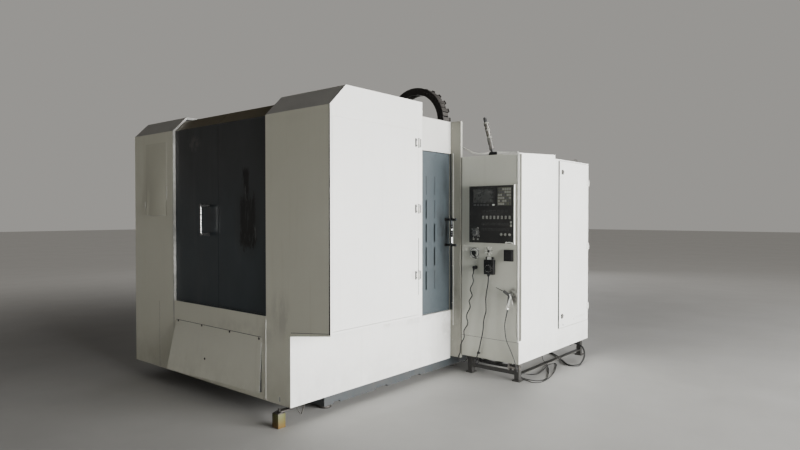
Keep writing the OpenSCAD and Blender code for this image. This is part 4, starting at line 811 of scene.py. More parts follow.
# dark blue-grey sheet between the side door's rear edge and the corner strip: painted shade of the door there
b.prism([(2070, 629), (2098, 629), (2098, 2216), (2087.4, 2216)], "x", -17.6, -16.2)
b.done("side_door_shade_sheet", "frame", m_blue2)
b = B()
b.box(30, 38, 2098.1, 2099.1, 470, 2222)
b.done("strip_bead", "frame", m_mark, bevel=0.3)
b = B()
b.box(0.4, 3.0, 2088, 2095.8, 150, 622)
b.box(0.4, 3.0, 2090, 2095.8, 2226, 2540)
b.done("wall_edge_bead", "frame", m_wall, bevel=0.8)

# ---------------------------------------------------------------- link chain
b = B()


def link_at(m, w0, w1, h0, h1, big, flip=1):
    """One chain link between radii w0 and w1 in a local frame with its length along z; h0 and h1 are its half
    lengths there. The near side plates meet in a smooth band, the far ones stand out at every other link."""
    b.M = m
    b.mi = 0
    near = [(w0, -h0), (w0, h0), (w1, h1), (w1, -h1)]
    b.prism(near, "y", 2300, 2309)
    if big:
        far = [(w0 + 3, -h0 + 1), (w0 + 3, h0 - 1), (w1 - 3, h1 - 3), (w1 + 8, h1 - 8), (w1 + 8, -h1 + 5), (w1 - 3, -h1 + 3)]
    else:
        far = [(w0 + 3, -h0 - 1), (w0 + 3, h0 + 1), (w1 - 20, h1 + 2), (w1 - 20, -h1 - 2)]
    if flip < 0:
        far = [(w0 + w1 - x, z) for x, z in far][::-1]
    b.prism(far, "y", 2421, 2430)
    # outer and inner cross bars
    b.mi = 2
    xo = w1 - 9 if flip > 0 else w0 + 1
    b.box(xo, xo + 8, 2308, 2424 if big else 2400, -h1 + 6, h1 - 6)
    b.mi = 0
    xi = w0 + 1 if flip > 0 else w1 - 8
    b.box(xi, xi + 7, 2308, 2422, -h0 + 7, h0 - 7)
    mid_ = (w0 + w1) / 2
    b.box(mid_ - 4, mid_ + 4, 2308, 2422, -3, 3)
    # pin boss on each side plate
    for y0, y1 in ((2297.6, 2300), (2418, 2421)):
        b.rod((mid_, y0, -h0 + 1), (mid_, y1, -h0 + 1), 13, 18, 0.8)


pitch = 7.5
for a in range(24):
    ang = pitch * 0.5 + a * pitch
    m = Matrix.Translation(Vector((-640, 0, 2610))) @ Matrix.Rotation(rad(-ang), 4, "Y")
    link_at(m, 326, 399, 326 * sin(rad(3.75)) - 0.3, 399 * sin(rad(3.75)) - 0.3, a % 2 == 0)
for x, zlo, fl in ((-1045, 1905, -1), (-320, 1855, 1)):
    z = 2586
    k = 0
    while z > zlo:
        m = Matrix.Translation(Vector((x, 0, z)))
        link_at(m, 5, 79, 23.4, 23.4, k % 2 == 1, fl)
        z -= 47.4
        k += 1
# the hoses and leads that the chain carries
b.M = Matrix.Identity(4)
for dy, rr, dr in ((2330, 11, 0), (2356, 9, 8), (2376, 13, -4), (2402, 8, 10)):
    pts = [(-1003 + dr, dy, 1910)] + [(-1003 + dr, dy, z) for z in range(1950, 2610, 60)]
    pts += [(-640 - (363 - dr) * cos(rad(t)), dy, 2610 + (363 - dr) * sin(rad(t))) for t in range(0, 181, 6)]
    pts += [(-277 - dr, dy, z) for z in range(2570, 1855, -60)]
    b.mi = 1
    b.tube(pts, rr, 10, (0, 1, 0))
ch = b.done("link_chain", "chain_body", [m_chain, m_cable, m_lid], bevel=0.0)
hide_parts("drag_chain")

# clamp plate at one end of the chain
b = B()
b.box(-325, -231, 2295, 2300, 1664, 1711)
for x in (-310, -246):
    for z in (1676, 1700):
        b.hexagon((x, 2295, z), (0, -1, 0), 7, 5)
b.done("chain_end_plate", "frame", m_green, bevel=0.8)

# ---------------------------------------------------------------- signal tower
tower_m = Matrix.Translation(Vector((385, 2300, 2190))) @ Matrix.Rotation(rad(-15), 4, "Y")
b = B()
b.box(355, 415, 2270, 2330, 2180, 2192)
b.box(362, 408, 2277, 2323, 2192, 2197)
for x in (361, 409):
    for y in (2276, 2324):
        b.hexagon((x, y, 2192), (0, 0, 1), 4.5, 3.5)
b.M = tower_m
b.mi = 1
b.lathe([(0, -4), (19, -3), (19, 2), (18, 6), (17, 30), (18, 60), (21, 66), (21, 68.4), (6, 68.4), (6, 355), (0, 355)], (0, 0, 0), (0, 0, 1), 40)
b.lathe([(0, 355), (18, 355), (18.6, 358), (18.6, 402), (16, 410), (8, 413.6), (0, 414)], (0, 0, 0), (0, 0, 1), 40)
b.mi = 2
for z0_, z1_ in ((187.3, 205), (264.3, 282), (339.3, 356)):
    b.lathe([(6, z0_), (25.4, z0_), (27, z0_ + 2), (27, z1_ - 2), (25.4, z1_), (6, z1_)], (0, 0, 0), (0, 0, 1), 40)
tw = b.done("tower_body", "frame", [m_tower, m_gun, m_key])
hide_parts("signal_tower")
b = B()
b.M = tower_m
for i, (za, zb, rr) in enumerate(((68.6, 187, 28), (205.3, 264, 25), (282.3, 339, 25))):
    prof = [(rr - 4, za)]
    n = 9
    for k in range(n):
        zz = za + (zb - za - 1) * k / n
        st = (zb - za - 1) / n
        prof += [(rr - 1.4, zz + 0.06 * st), (rr, zz + 0.32 * st), (rr, zz + 0.68 * st), (rr - 1.4, zz + 0.94 * st)]
    prof += [(rr - 4, zb - 0.2)]
    b.mi = 1 if i == 0 else 0
    b.lathe(prof, (0, 0, 0), (0, 0, 1), 40, ring=True)
ln = b.done("tower_lenses", "frame", [m_lens, m_lens2], sharp=60)
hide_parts("signal_lenses")

# ---------------------------------------------------------------- control panel
# membrane keys, each with a dished top
b = B()
b.mi = 2
b.box(576.4, 725.6, 2058.6, 2061, 1690.4, 1860.6)


def keycap(x0, x1, z0, z1, y0, y1, mi):
    b.mi = mi
    c = 1.4
    o = [(x0, z0), (x1, z0), (x1, z1), (x0, z1)]
    i_ = [(x0 + c, z0 + c), (x1 - c, z0 + c), (x1 - c, z1 - c), (x0 + c, z1 - c)]
    k = [(x0 + 2.6 * c, z0 + 2.6 * c), (x1 - 2.6 * c, z0 + 2.6 * c), (x1 - 2.6 * c, z1 - 2.6 * c), (x0 + 2.6 * c, z1 - 2.6 * c)]
    r = [[b.v((p[0], y, p[1])) for p in q] for q, y in ((o, y1), (o, y0 + 0.9), (i_, y0), (k, y0 + 0.5))]
    b.f(r[0])
    b.f(r[3])
    for r0, r1 in zip(r, r[1:]):
        for j in range(4):
            b.f((r0[j], r0[(j + 1) % 4], r1[(j + 1) % 4], r1[j]))


tone = random.Random(11)
for i in range(6):
    for j in range(6):
        keycap(581 + i * 24, 599 + i * 24, 1694 + j * 28, 1714 + j * 28, 2055, 2059,
               0 if i in (5 - j, 6 - j) or (i, j) in ((1, 1), (0, 4), (3, 0)) else tone.choice((1, 1, 2, 1, 1)))
for x in (319, 357, 394, 430, 467, 531):
    keycap(x - 12, x + 12, 1688, 1702, 2054.8, 2057.2, 0 if x != 531 else 4)
for i in range(8):
    keycap(406.5 + i * 41.7, 425.5 + i * 41.7, 1560, 1590, 2054.8, 2057.2, 1)
    b.mi = 3
    xc = 416 + i * 41.7
    for q in ((-7, -3, 4, 8), (3, 7, -9, -4), (-6, 6, -1.5, 0.5)):
        b.box(xc + q[0] * 0.7, xc + q[1] * 0.7, 2054.4, 2055.6, 1575 + q[2], 1575 + q[3])
for z in (1487, 1518):
    keycap(713, 732, z, z + 21, 2054.8, 2057.2, 1)
for x in (298, 347):
    keycap(x, x + 18, 1352, 1368, 2054.8, 2057.2, 1)
ks = b.done("key_caps", "frame", [m_key2, m_key, m_key3, m_panel, m_button])
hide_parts("membrane_keys")

# raised field frames, blank dark keys and the screen's frame
b = B()


def frame_box(x0, x1, z0, z1, w, y0, y1):
    b.box(x0, x1, y0, y1, z1 - w, z1)
    b.box(x0, x1, y0, y1, z0, z0 + w)
    b.box(x0, x0 + w, y0, y1, z0 + w, z1 - w)
    b.box(x1 - w, x1, y0, y1, z0 + w, z1 - w)


frame_box(298, 542, 1706, 1860, 9.6, 2053.4, 2057.4)
frame_box(570, 732, 1683, 1867, 5.8, 2054.6, 2057.4)
b.done("panel_frames", "frame", m_panel, bevel=1.1)
b = B()
for r_ in range(2):
    for i in range(10):
        x = 398 + i * 30.5
        keycap(x, x + 23, 1446 + r_ * 52, 1470 + r_ * 52, 2055.2, 2057.2, 0)
for i in range(7):
    keycap(404 + i * 42, 432 + i * 42, 1622, 1646, 2055.2, 2057.2, 0)
b.done("blank_keys", "frame", m_key4)
b = B()
for x in (266, 738):
    for z in (1340, 1604, 1868):
        b.screw((x, 2057, z), (0, -1, 0), 4.6, 2.2)
b.done("bezel_screws", "frame", m_dark_screw)
# light rounded lug at the panel's lower right corner
b = B()
b.lathe([(7, 0), (8.4, 1.4), (8.4, 6), (7.6, 7)], (672, 2053, 1336), (0, 1, 0), 20)
b.sweep([(664 + 79 * k / 12, 2056, 1331 + 7 * sin(pi * k / 12)) for k in range(13)], [(-4, -5), (4, -5), (5, 0), (4, 5), (-4, 5), (-5, 0)], (0, 1, 0))
b.done("panel_lug", "frame", m_mark, bevel=0.8)
# bright edge of the console box
b = B()
b.box(752.4, 755.2, 2058.8, 2064.0, 1322, 1884)
b.done("console_edge", "frame", m_cab, bevel=0.9)

# dial: skirt with ticks, knurled knob, pointer
b = B()
b.lathe([(8, 19), (30, 19), (34, 18), (34, 10), (33, 8), (24, 6.5), (22.5, 5.5)] + [(22.5, 5.5), (22, 1.2), (20.5, 0), (0, 0)], (330, 2037.2, 1425), (0, 1, 0), 48)
for k in range(28):
    a = 2 * pi * k / 28
    b.rod((330 + 22.4 * cos(a), 2039.0, 1425 + 22.4 * sin(a)), (330 + 22.4 * cos(a), 2043.4, 1425 + 22.4 * sin(a)), 1.3, 6)
b.mi = 1
b.box(328.6, 331.4, 2036.2, 2038, 1430, 1446)
b.rod((330, 2055, 1425), (330, 2077, 1425), 7.9, 20)
b.mi = 2
b.lathe([(22.8, 5.6), (26.2, 6.6), (26.2, 7.6), (22.8, 6.8)], (330, 2036.6, 1425), (0, 1, 0), 48, ring=True)
dl = b.done("dial_knob", "dial_body", [m_key2, m_gun, m_key], bevel=0.0)
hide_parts("override_dial")
b = B()
for k in range(16):
    a = rad(-60 + k * 20)
    r0, r1 = 37.5, 42.5 if k % 5 else 45.5
    b.M = Matrix.Translation(Vector((330, 0, 1425))) @ Matrix.Rotation(-a, 4, "Y")
    b.box(r0, r1, 2056.2, 2057.3, -0.7, 0.7)
b.M = Matrix.Identity(4)
b.done("dial_ticks", "frame", m_mark)


def number(txt, x, z, size, y, name, mat):
    cu = bpy.data.curves.new(name, "FONT")
    cu.body = txt
    cu.size = size / 1000
    cu.align_x = "CENTER"
    cu.align_y = "CENTER"
    cu.extrude = 0.0003
    cu.resolution_u = 3
    ob = bpy.data.objects.new(name, cu)
    bpy.context.scene.collection.objects.link(ob)
    dg = bpy.context.evaluated_depsgraph_get()
    me = bpy.data.meshes.new_from_object(ob.evaluated_get(dg))
    bpy.data.objects.remove(ob)
    me.transform(Matrix.Translation(V(x, y, z)) @ Matrix.Rotation(rad(90), 4, "X"))
    me.materials.clear()
    me.materials.append(mat)
    o = bpy.data.objects.new(name, me)
    bpy.context.scene.collection.objects.link(o)
    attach(o, "frame")
    return o


for t_, a in (("0", 240), ("50", 140), ("100", 60), ("150", -40)):
    number(t_, 330 + 53 * cos(rad(a)), 1425 + 53 * sin(rad(a)), 11, 2056.7, "dial_number_" + t_, m_mark)

# push buttons with dark metal rings
for x, body, node, nm in ((619, "start_body", "cycle_start_button", "start_cap"), (663.5, "hold_body", "feed_hold_button", "hold_cap"),
                          (708, "stop_body", "program_stop_button", "stop_cap")):
    b = B()
    b.lathe([(0, 0.9), (6, 0.6), (9.2, 0), (10.6, 1.2), (10.9, 3), (10.9, 38)], (x, 2046, 1412), (0, 1, 0), 32)
    ob = b.done(nm, body, m_key, sharp=50)
    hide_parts(node)
    b = B()
    b.lathe([(11.6, 2.4), (14.6, 2.4), (16.4, 1.2), (16.4, -0.6), (15, -2.6), (12.4, -3.2), (11.6, -2.4)], (x, 2057, 1412), (0, 1, 0), 32, ring=True)
    b.done(nm + "_ring", "frame", m_dark_screw, sharp=50)

# main switch: dished plate, screws, rotor with lever
b = B()
b.box(242, 342, 2093, 2099, 1172, 1272)
b.mi = 1
for x0_, x1_, z0_, z1_ in ((240, 344, 1170, 1173.2), (240, 344, 1270.8, 1274), (240, 243.2, 1173.2, 1270.8), (340.8, 344, 1173.2, 1270.8)):
    b.box(x0_, x1_, 2092.4, 2098.8, z0_, z1_)
b.lathe([(43.6, 11), (49.8, 10), (49.8, 2.2), (43.6, 1.2)], (294, 2088, 1222), (0, 1, 0), 56, ring=True)
b.lathe([(27, 1.2), (30.6, 0.4), (30.6, 1.6), (27, 2.4)], (294, 2088, 1222), (0, 1, 0), 48, ring=True)
b.mi = 0
b.lathe([(7.6, 11), (43.5, 11), (43.5, 3), (42.4, 0.8), (40, 0), (30, 0.8), (28, 2), (7.6, 2)], (294, 2088, 1222), (0, 1, 0), 56, ring=True)
b.mi = 2
for x in (251, 333):
    for z in (1181, 1263):
        b.screw((x, 2093, z), (0, -1, 0), 4.2, 2.0)
for k in range(9):
    a = rad(-90 + k * 45)
    b.mi = 3
    b.M = Matrix.Translation(Vector((294, 0, 1222))) @ Matrix.Rotation(-a, 4, "Y")
    b.box(33.5, 40, 2087.6, 2089.4, -1.1, 1.1)
b.M = Matrix.Identity(4)
sp = b.done("switch_face", "frame", [m_button, m_key2, m_zinc, m_mark], bevel=0.5)
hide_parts("switch_plate")
b = B()
b.lathe([(0, 17.6), (22, 17.6), (22, 4), (20.6, 1.6), (17, 0), (0, 0)], (294, 2070, 1222), (0, 1, 0), 40)
b.M = Matrix.Translation(Vector((294, 0, 1222))) @ Matrix.Rotation(rad(-33.7), 4, "Y")
b.prism([(-7, 22), (-4.5, 25), (4.5, 25), (7, 22), (8.2, -48), (7.5, -62), (3.5, -68), (-3.5, -68), (-7.5, -62), (-8.2, -48)], "y", 2060.5, 2074)
b.M = Matrix.Identity(4)
b.rod((294, 2086, 1222), (294, 2097.6, 1222), 6.9, 20)
sw = b.done("switch_rotor", "switch_body", m_black, bevel=1.2)
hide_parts("main_switch")
b = B()
b.M = Matrix.Translation(Vector((294, 0, 1222))) @ Matrix.Rotation(rad(-33.7), 4, "Y")
b.box(-1.2, 1.2, 2059.9, 2061.2, -60, -36)
b.M = Matrix.Identity(4)
b.done("switch_pointer", "switch_body", m_mark)

# outlet cover with a ribbed lid and a hinge bar
b = B()
b.box(634, 727, 2077, 2099, 1157, 1267)
b.box(641, 720, 2070, 2078, 1164, 1256)
for k in range(5):
    b.box(650 + k * 13, 656 + k * 13, 2068.8, 2070.6, 1176, 1244)
b.rod((645, 2073, 1260), (716, 2073, 1260), 4.4, 16, 0.6)
for x in (641, 720):
    for z in (1162, 1262):
        b.screw((x, 2077, z), (0, -1, 0), 3.2, 1.6)
oc = b.done("outlet_lid", "frame", m_black, bevel=1.6)
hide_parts("outlet_cover")

# holder of the pendant: eight thin bright petals around a boss
b = B()
for k in range(9):
    a = rad(8 + k * 40)
    b.M = Matrix.Translation(Vector((468, 0, 1247))) @ Matrix.Rotation(-a, 4, "Y")
    L = 50 if k % 2 else 44
    # every third petal is black: painted shadow between the bright petals
    b.mi = 0 if k % 3 else 1
    sec = [(-2.9, -1.2), (2.9, -1.2), (2.9, 1.2), (-2.9, 1.2)]
    path = [(8 + (L - 8) * t / 10, 2083 - 9 * sin(pi * t / 10 * 0.8), 0) for t in range(11)]
    b.sweep(path, sec, (0, 1, 0))
b.M = Matrix.Identity(4)
b.mi = 1
b.lathe([(16.4, 9), (16.4, 2), (14, 0), (6, -0.6), (0, -0.6)], (468, 2070, 1247), (0, 1, 0), 32)
b.mi = 0
b.box(457, 505, 2064, 2082, 1165.4, 1187)
b.done("pendant_holder", "frame", [m_mark, m_rubber], bevel=0.3)

# pendant: rounded case, scale ring, jog wheel with its crank knob, keys
b = B()
b.box(425, 535, 2052, 2090, 1021, 1165)
b.box(441, 456, 2060, 2084, 1160, 1194)
b.box(506, 521, 2060, 2084, 1160, 1194)
pc = b.done("pendant_shell", "frame", m_black, bevel=5.0, seg=3)
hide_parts("pendant_case")
b = B()
b.lathe([(18.5, 26), (18, 22), (16, 20), (15.5, 16), (13.6, 14), (13, 10), (10.4, 8), (9.6, 4), (7.2, 1), (5.2, 0)], (469, 2071, 998), (0, 0, 1), 24)
b.lathe([(41, 2), (41, -0.2), (39, -1.4), (33, -1.4), (31.6, -0.4), (31.6, 2)], (480, 2052, 1080), (0, 1, 0), 48, ring=True)
for x in (445, 480, 515):
    b.lathe([(7.4, 1), (7.4, -2.4), (5.8, -4), (0, -4.2)], (x, 2052, 1144), (0, 1, 0), 20)
b.done("pendant_fittings", "frame", m_black)
b = B()
for k in range(20):
    b.M = Matrix.Translation(Vector((480, 0, 1080))) @ Matrix.Rotation(rad(k * 18), 4, "Y")
    b.box(33.6, 38.4, 2050.1, 2051.2, -0.6, 0.6)
b.M = Matrix.Identity(4)
b.done("pendant_ticks", "frame", m_mark)
b = B()
b.lathe([(0, 34), (4.9, 34), (4.9, 11.6), (30, 11.6), (30, 4), (28.6, 1), (26, 0), (10, 1.4), (0, 1.4)], (480, 2040, 1080), (0, 1, 0), 48)
for k in range(36):
    a = 2 * pi * k / 36
    b.rod((480 + 29.8 * cos(a), 2042.6, 1080 + 29.8 * sin(a)), (480 + 29.8 * cos(a), 2050, 1080 + 29.8 * sin(a)), 1.1, 6)
b.lathe([(0, 9), (4.6, 9), (4.6, 3), (5.6, 1.5), (4.6, 0.2), (0, 0)], (496, 2032, 1094), (0, 1, 0), 20)
hw = b.done("jog_wheel", "handwheel_body", m_black)
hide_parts("handwheel")

# air gun: moulded body, nozzle, hose nut and the spring guard on the hose
b = B()
prof = [(0, -15), (8, -13), (13, -8), (15, 0), (15.4, 20), (14.6, 44), (15, 62), (13, 72), (7, 77), (0, 78)]
b.lathe(prof, (650, 2064, 868), (54, 0, -32), 28)
b.lathe([(13, 0), (14.2, 6), (13.0, 30), (11.2, 55), (10.4, 84), (9.5, 92), (0, 94)], (704, 2064, 838), (-16, 0, -91), 28)
b.box(700, 722, 2056, 2060.8, 838, 855)
b.box(700, 722, 2067.2, 2072, 838, 855)
b.rod((690, 2064, 852), (690, 2098.5, 852), 5, 16)
b.rod((650, 2064, 867), (558, 2064, 901), 4.5, 16, 0.8, 3.6)
b.mi = 1
b.lathe([(7.8, 0), (7.8, 14), (6.4, 16), (6.4, 20)], (652, 2064, 866), (-92, 0, 34), 6)
b.lathe([(10.5, 0), (10.5, 12), (9.0, 13.5), (7.2, 14), (7.2, 46)], (684, 2064, 700), (0.06, 0, 1), 6)
gb = b.done("air_gun_shell", "frame", [m_gun, m_chrome], bevel=0.0, sharp=50)
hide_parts("air_gun_body")
b = B()
ctr = fine([(684, 2064, 702), (678, 2065, 672), (670, 2067, 636), (660, 2069, 600)], 40)
pts = []
turns = 17
m_ = 96
for k in range(m_):
    p = ctr[k]
    d = (ctr[k + 1] - ctr[k]).normalized()
    u = d.cross(Vector((0, 1, 0))).normalized()
    w = u.cross(d)
    a = 2 * pi * turns * k / m_ * 1.0
    pts.append((p, u, w))
hel = []
for k in range((m_ - 1) * 4):
    i, fr = divmod(k, 4)
    p0, u0, w0_ = pts[i]
    p1 = pts[min(i + 1, m_ - 1)][0]
    p = p0.lerp(p1, fr / 4)
    a = 2 * pi * turns * k / ((m_ - 1) * 4)
    hel.append(p + 6.3 * (cos(a) * u0 + sin(a) * w0_))
b.tube(hel, 1.15, 6, (0.02, 1, 0.03))
b.done("hose_guard", "frame", m_gun, sharp=60)
# long bright lever of the gun, in front of the grip
b = B()
lever = [(725, 2043.6, 822), (721, 2043.2, 808), (712, 2043, 782), (702, 2043, 752), (693, 2043, 728), (684, 2043.6, 704)]
rings = []
for k, p in enumerate(lever):
    w = 6.5 + 5.0 * k / 5
    rings.append([b.v((p[0] - w, p[1] - 1.6, p[2])), b.v((p[0] + w, p[1] - 1.6, p[2])), b.v((p[0] + w, p[1] + 1.6, p[2])), b.v((p[0] - w, p[1] + 1.6, p[2]))])
for r0, r1 in zip(rings, rings[1:]):
    for i in range(4):
        b.f((r0[i], r0[(i + 1) % 4], r1[(i + 1) % 4], r1[i]))
b.f(rings[0])
b.f(rings[-1])
b.rod((716, 2044.5, 848), (716, 2061, 848), 3.4, 14)
b.prism([(711, 852), (721, 852), (730, 818), (720, 818)], "y", 2043, 2045.4)
b.done("gun_lever", "trigger_body", m_mark, bevel=0.7)

# ---------------------------------------------------------------- cabinet
b = B()
for z in (522, 2050):
    b.prism([(3015, z - 24), (3055, z - 24), (3062, z - 16), (3062, z + 16), (3055, z + 24), (3015, z + 24), (3008, z + 16), (3008, z - 16)], "x", 785.7, 786.35)
b.done("lock_plates", "cabinet_leaf", m_dark_screw)
for z, body in ((2050, "lock_high"), (522, "lock_low")):
    b = B()
    b.lathe([(15.1, 0), (15.1, 4.6), (13.6, 6.6), (12, 7.2), (7, 7.2), (6, 5.8), (0, 5.8)], (786.6, 3035, z), (1, 0, 0), 32)
    b.M = Matrix.Translation(Vector((0, 3035, z))) @ Matrix.Rotation(rad(8), 4, "X")
    b.prism([(4, -5), (30, -4), (33, 0), (30, 4), (4, 5)], "x", 790, 794.2)
    b.M = Matrix.Identity(4)
    b.done("lock_wing_" + ("high" if z > 1000 else "low"), body, m_zinc, bevel=0.5)
b = B()
for z in (560, 1240, 1960):
    for y in (3680, 3692):
        for k in (-24, 24):
            b.screw((789, y, z + k), (1, 0, 0), 3.6, 1.4)
b.done("cabinet_hinge_screws", "cabinet_leaf", m_zinc)
# light rubber seal around the cabinet door, seen as the dark line
b = B()
b.box(780.4, 784.6, 2940.3, 2942.7, 398, 2166)
b.box(144, 784, 2098.4, 2099.4, 387.8, 391)
b.done("cabinet_door_seal", "frame", m_rubber, bevel=0.4)
b = B()
b.box(785.1, 787.0, 2932, 2942.3, 402, 2163)
b.done("cabinet_seam_fixed", "frame", m_gap)
b = B()
b.box(786.05, 787.0, 2943.7, 2961, 402, 2163)
b.done("cabinet_seam_door", "cabinet_leaf", m_gap)
# small screws of the cabinet's fixed panel
b = B()
for z in (470, 900, 1330, 1760, 2130):
    b.screw((786, 2146, z), (1, 0, 0), 3.8, 1.8)
for x in (160, 232, 768):
    for z in (410, 2165):
        b.screw((x, 2099, z), (0, -1, 0), 3.8, 1.8)
b.screw((312, 2099, 1128), (0, -1, 0), 5.5, 3)
b.done("cabinet_screws", "frame", m_cab)
# ribbed edge strip of the raised cover
b = B()
for k in range(50):
    x = 548 + k * 4.6
    b.prism([(x, 2099.7), (x + 4.5, 2099.7), (x + 0.2, 2095.6)], "z", 2180 - 20 * k / 50, 2208 - 16 * k / 50)
b.done("cover_edge_ribs", "frame", m_mark)
b = B()
b.box(351, 438, 2262, 2334, 2198.6, 2229)
b.box(418, 452, 2270, 2320, 2180.3, 2216)
for y in (2274, 2322):
    b.rod((366, y, 2228), (366, y, 2232), 5, 14, 0.8)
b.done("tower_foot", "frame", m_black, bevel=2.4)
# bright edge trim down the front corner
b = B()
for k in range(4):
    x = 767.6 + k * 4.6
    b.prism([(x, 2099.7), (x + 4.5, 2099.7), (x + 0.2, 2095.6)], "z", 392, 2158)
b.done("cabinet_corner_trim", "frame", m_mark)
b = B()
b.box(785.05, 786.4, 2101, 2146, 404, 2176)
b.done("cabinet_corner_inlay", "frame", m_inlay, bevel=0.3)
# clip on the pendant cable
b = B()
b.lathe([(6.3, -13), (10, -12), (11, -4), (11, 6), (9, 13), (6.3, 14)], (351, 2074, 238), (0.33, 0, 0.94), 20, ring=True)
b.box(356, 374, 2068, 2080, 232, 246)
b.done("cable_clip", "frame", m_black, bevel=0.6)
# brackets, pipes and lead ends under the cabinet
b = B()
b.prism([(2150, 164), (2184, 164), (2184, 160), (2154, 160), (2154, 100), (2150, 100)], "x", 640, 655)
b.prism([(2150, 164), (2184, 164), (2184, 160), (2154, 160), (2154, 108), (2150, 108)], "x", 754, 772)
b.box(629, 774, 2160, 2165, 118, 136)
for x in (646, 700, 763):
    b.hexagon((x, 2160, 127), (0, -1, 0), 6, 4)
b.done("under_brackets", "frame", m_tower, bevel=0.8)
b = B()
for r_, y, z, x0_, x1_ in ((16, 2260, 120, 190, 700), (11, 2310, 100, 210, 690), (22, 2520, 128, 160, 640), (9, 2230, 140, 300, 560)):
    b.tube(fine([(x0_, y, z + 30), (x0_ + 24, y, z + 6), (x0_ + 90, y, z - 8), ((x0_ + x1_) / 2, y + 14, z - 16), (x1_ - 90, y, z - 6), (x1_ - 24, y, z + 8), (x1_, y, z + 34)], 4), r_, 12, (0, 1, 0.1))
b.done("under_leads", "frame", m_cable)
b = B()
for x, y in ((305, 2152), (170, 2152), (744, 2150), (560, 3020), (650, 2240)):
    b.lathe([(9.5, 0), (12.5, 1.5), (12.5, 9), (11.4, 11), (13, 12), (13, 20)], (x, y, 165), (0, 0, 1), 6)
b.done("gland_nuts", "frame", m_black, bevel=0.4)
# louvres and seams on the cabinet's far side and back
b = B()
for zz in (620, 1580):
    for k in range(9):
        z = zz + k * 26
        b.prism([(143.2, z), (137.5, z + 2), (137.5, z + 4), (143.2, z + 15)], "y", 2500, 2800)
        b.prism([(143.2, z), (137.5, z + 2), (137.5, z + 4), (143.2, z + 15)], "y", 3150, 3450)
b.done("cabinet_louvres", "frame", m_cab, bevel=0.5)
b = B()
for x in (230, 700):
    b.lathe([(24, 0), (24, 7), (20, 9), (13, 9), (0, 9)], (x, 2400, 2180), (0, 0, 1), 24)
    b.lathe([(17, 4), (22, 4), (22, -4), (17, -4)], (x, 3550, 2203), (0, 1, 0), 28, ring=True)
    b.lathe([(12, 0), (12, 8), (7, 9), (7, 12), (0, 12)], (x, 3550, 2179.5), (0, 0, 1), 20)
b.done("lifting_eyes", "frame", m_zinc, bevel=0.5)
b = B()
b.box(160, 770, 3711, 3713.4, 240, 2120)
for z in (260, 880, 1480, 2100):
    for x in (176, 754):
        b.screw((x, 3713.4, z), (0, 1, 0), 4.2, 0.5)
b.done("cabinet_back_panel", "frame", m_cab, bevel=0.8)

# ---------------------------------------------------------------- jacking block and feet
b = B()
for x, y in ((-2180, 470), (-1150, 470), (-128, 470), (-2180, 2300), (-128, 2300), (-1600, 3300), (-380, 3300), (-1150, 1300)):
    b.lathe([(0, 0), (53, 0), (55, 3), (55, 19), (52, 22), (34, 22), (34, 32), (31, 34), (0, 34)], (x, y, 0), (0, 0, 1), 36)
    b.lathe([(28, 0), (28, 18), (25, 20), (0, 20)], (x, y, 33), (0, 0, 1), 6)
    b.rod((x, y, 40), (x, y, 180), 14.8, 20)
b.box(-70, -6, -112, -50, 108, 113)
b.box(-66, -12, -84, 34, 113, 122)
b.mi = 1
b.box(-74, -2, -116, -46, 0, 108)
ft = b.done("levelling_pads", "frame", [m_dark_screw, m_yellow], bevel=1.6, seg=2)
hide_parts("levelling_feet")
b = B()
b.lathe([(10, 0), (13, 2), (13, 8), (9, 10), (9, 22), (12, 24), (12, 29), (0, 30)], (-34, -80, 113), (0, 0, 1), 6)
b.box(-62, -50, -106, -54, 113, 118)
b.rod((-56, -102, 120), (-8, -92, 120), 3.2, 12, 0.6)
b.done("jack_hardware", "frame", m_dark_screw, bevel=0.5)

# ---------------------------------------------------------------- back: tank pumps, column covers, drive
b = B()
for x in (-700, -1000):
    for k in range(18):
        a = 2 * pi * k / 18
        b.M = Matrix.Translation(Vector((x, 3555, 0))) @ Matrix.Rotation(a, 4, "Z")
        b.box(68, 78, -2, 2, 470, 650)
    b.M = Matrix.Identity(4)
    b.lathe([(74, 0), (76, 6), (72, 20), (60, 34), (36, 42), (0, 44)], (x, 3555, 660), (0, 0, 1), 40)
    b.box(x - 34, x + 34, 3470, 3494, 520, 600)
b.done("pump_covers", "frame", m_cast, bevel=0.9)
b = B()
for x in (-700, -1000):
    b.tube(fine([(x - 60, 3555, 388), (x - 60, 3555, 420), (x - 80, 3540, 470), (x - 110, 3500, 520), (x - 140, 3440, 540), (x - 170, 3380, 540), (x - 190, 3352, 540)], 4), 15, 14, (0.3, 0.2, 1))
b.done("pump_hoses", "frame", m_rubber)
b = B()
for x in (-560, -1232):
    b.box(x, x + (200 if x == -560 else 128), 3425, 3690, 386, 389)
    b.box(x + 40, x + 90, 3540, 3552, 389, 402)
for x0_, x1_, y0_, y1_ in ((-2266, -1234, 3424, 3438), (-2266, -1234, 3672, 3686), (-2266, -2252, 3438, 3672), (-1248, -1234, 3438, 3672)):
    b.box(x0_, x1_, y0_, y1_, 386, 393)
b.done("tank_lids", "frame", m_grey, bevel=0.9)
b = B()
for k in range(13):
    z = 2662 + k * 14
    b.box(-1057, -923, 2692, 2828, z, z + 4)
b.box(-1030, -950, 2826, 2846, 2700, 2770)
b.lathe([(62, 0), (62, 22), (56, 28), (20, 30), (0, 30)], (-990, 2760, 2852), (0, 0, 1), 36)
b.done("drive_fins", "frame", m_grey, bevel=0.6)
# column's flank covers with screws
b = B()
for x, s in ((-1440, -1), (-540, 1)):
    for z0_, z1_ in ((700, 1300), (1340, 1940), (1980, 2270)):
        b.box(min(x, x + 3 * s), max(x, x + 3 * s), 2760, 3240, z0_, z1_)
        for y in (2780, 3220):
            for z in (z0_ + 20, z1_ - 20):
                b.screw((x + 3 * s, y, z), (s, 0, 0), 6, 3)
b.done("column_covers", "frame", m_cream, bevel=0.9)
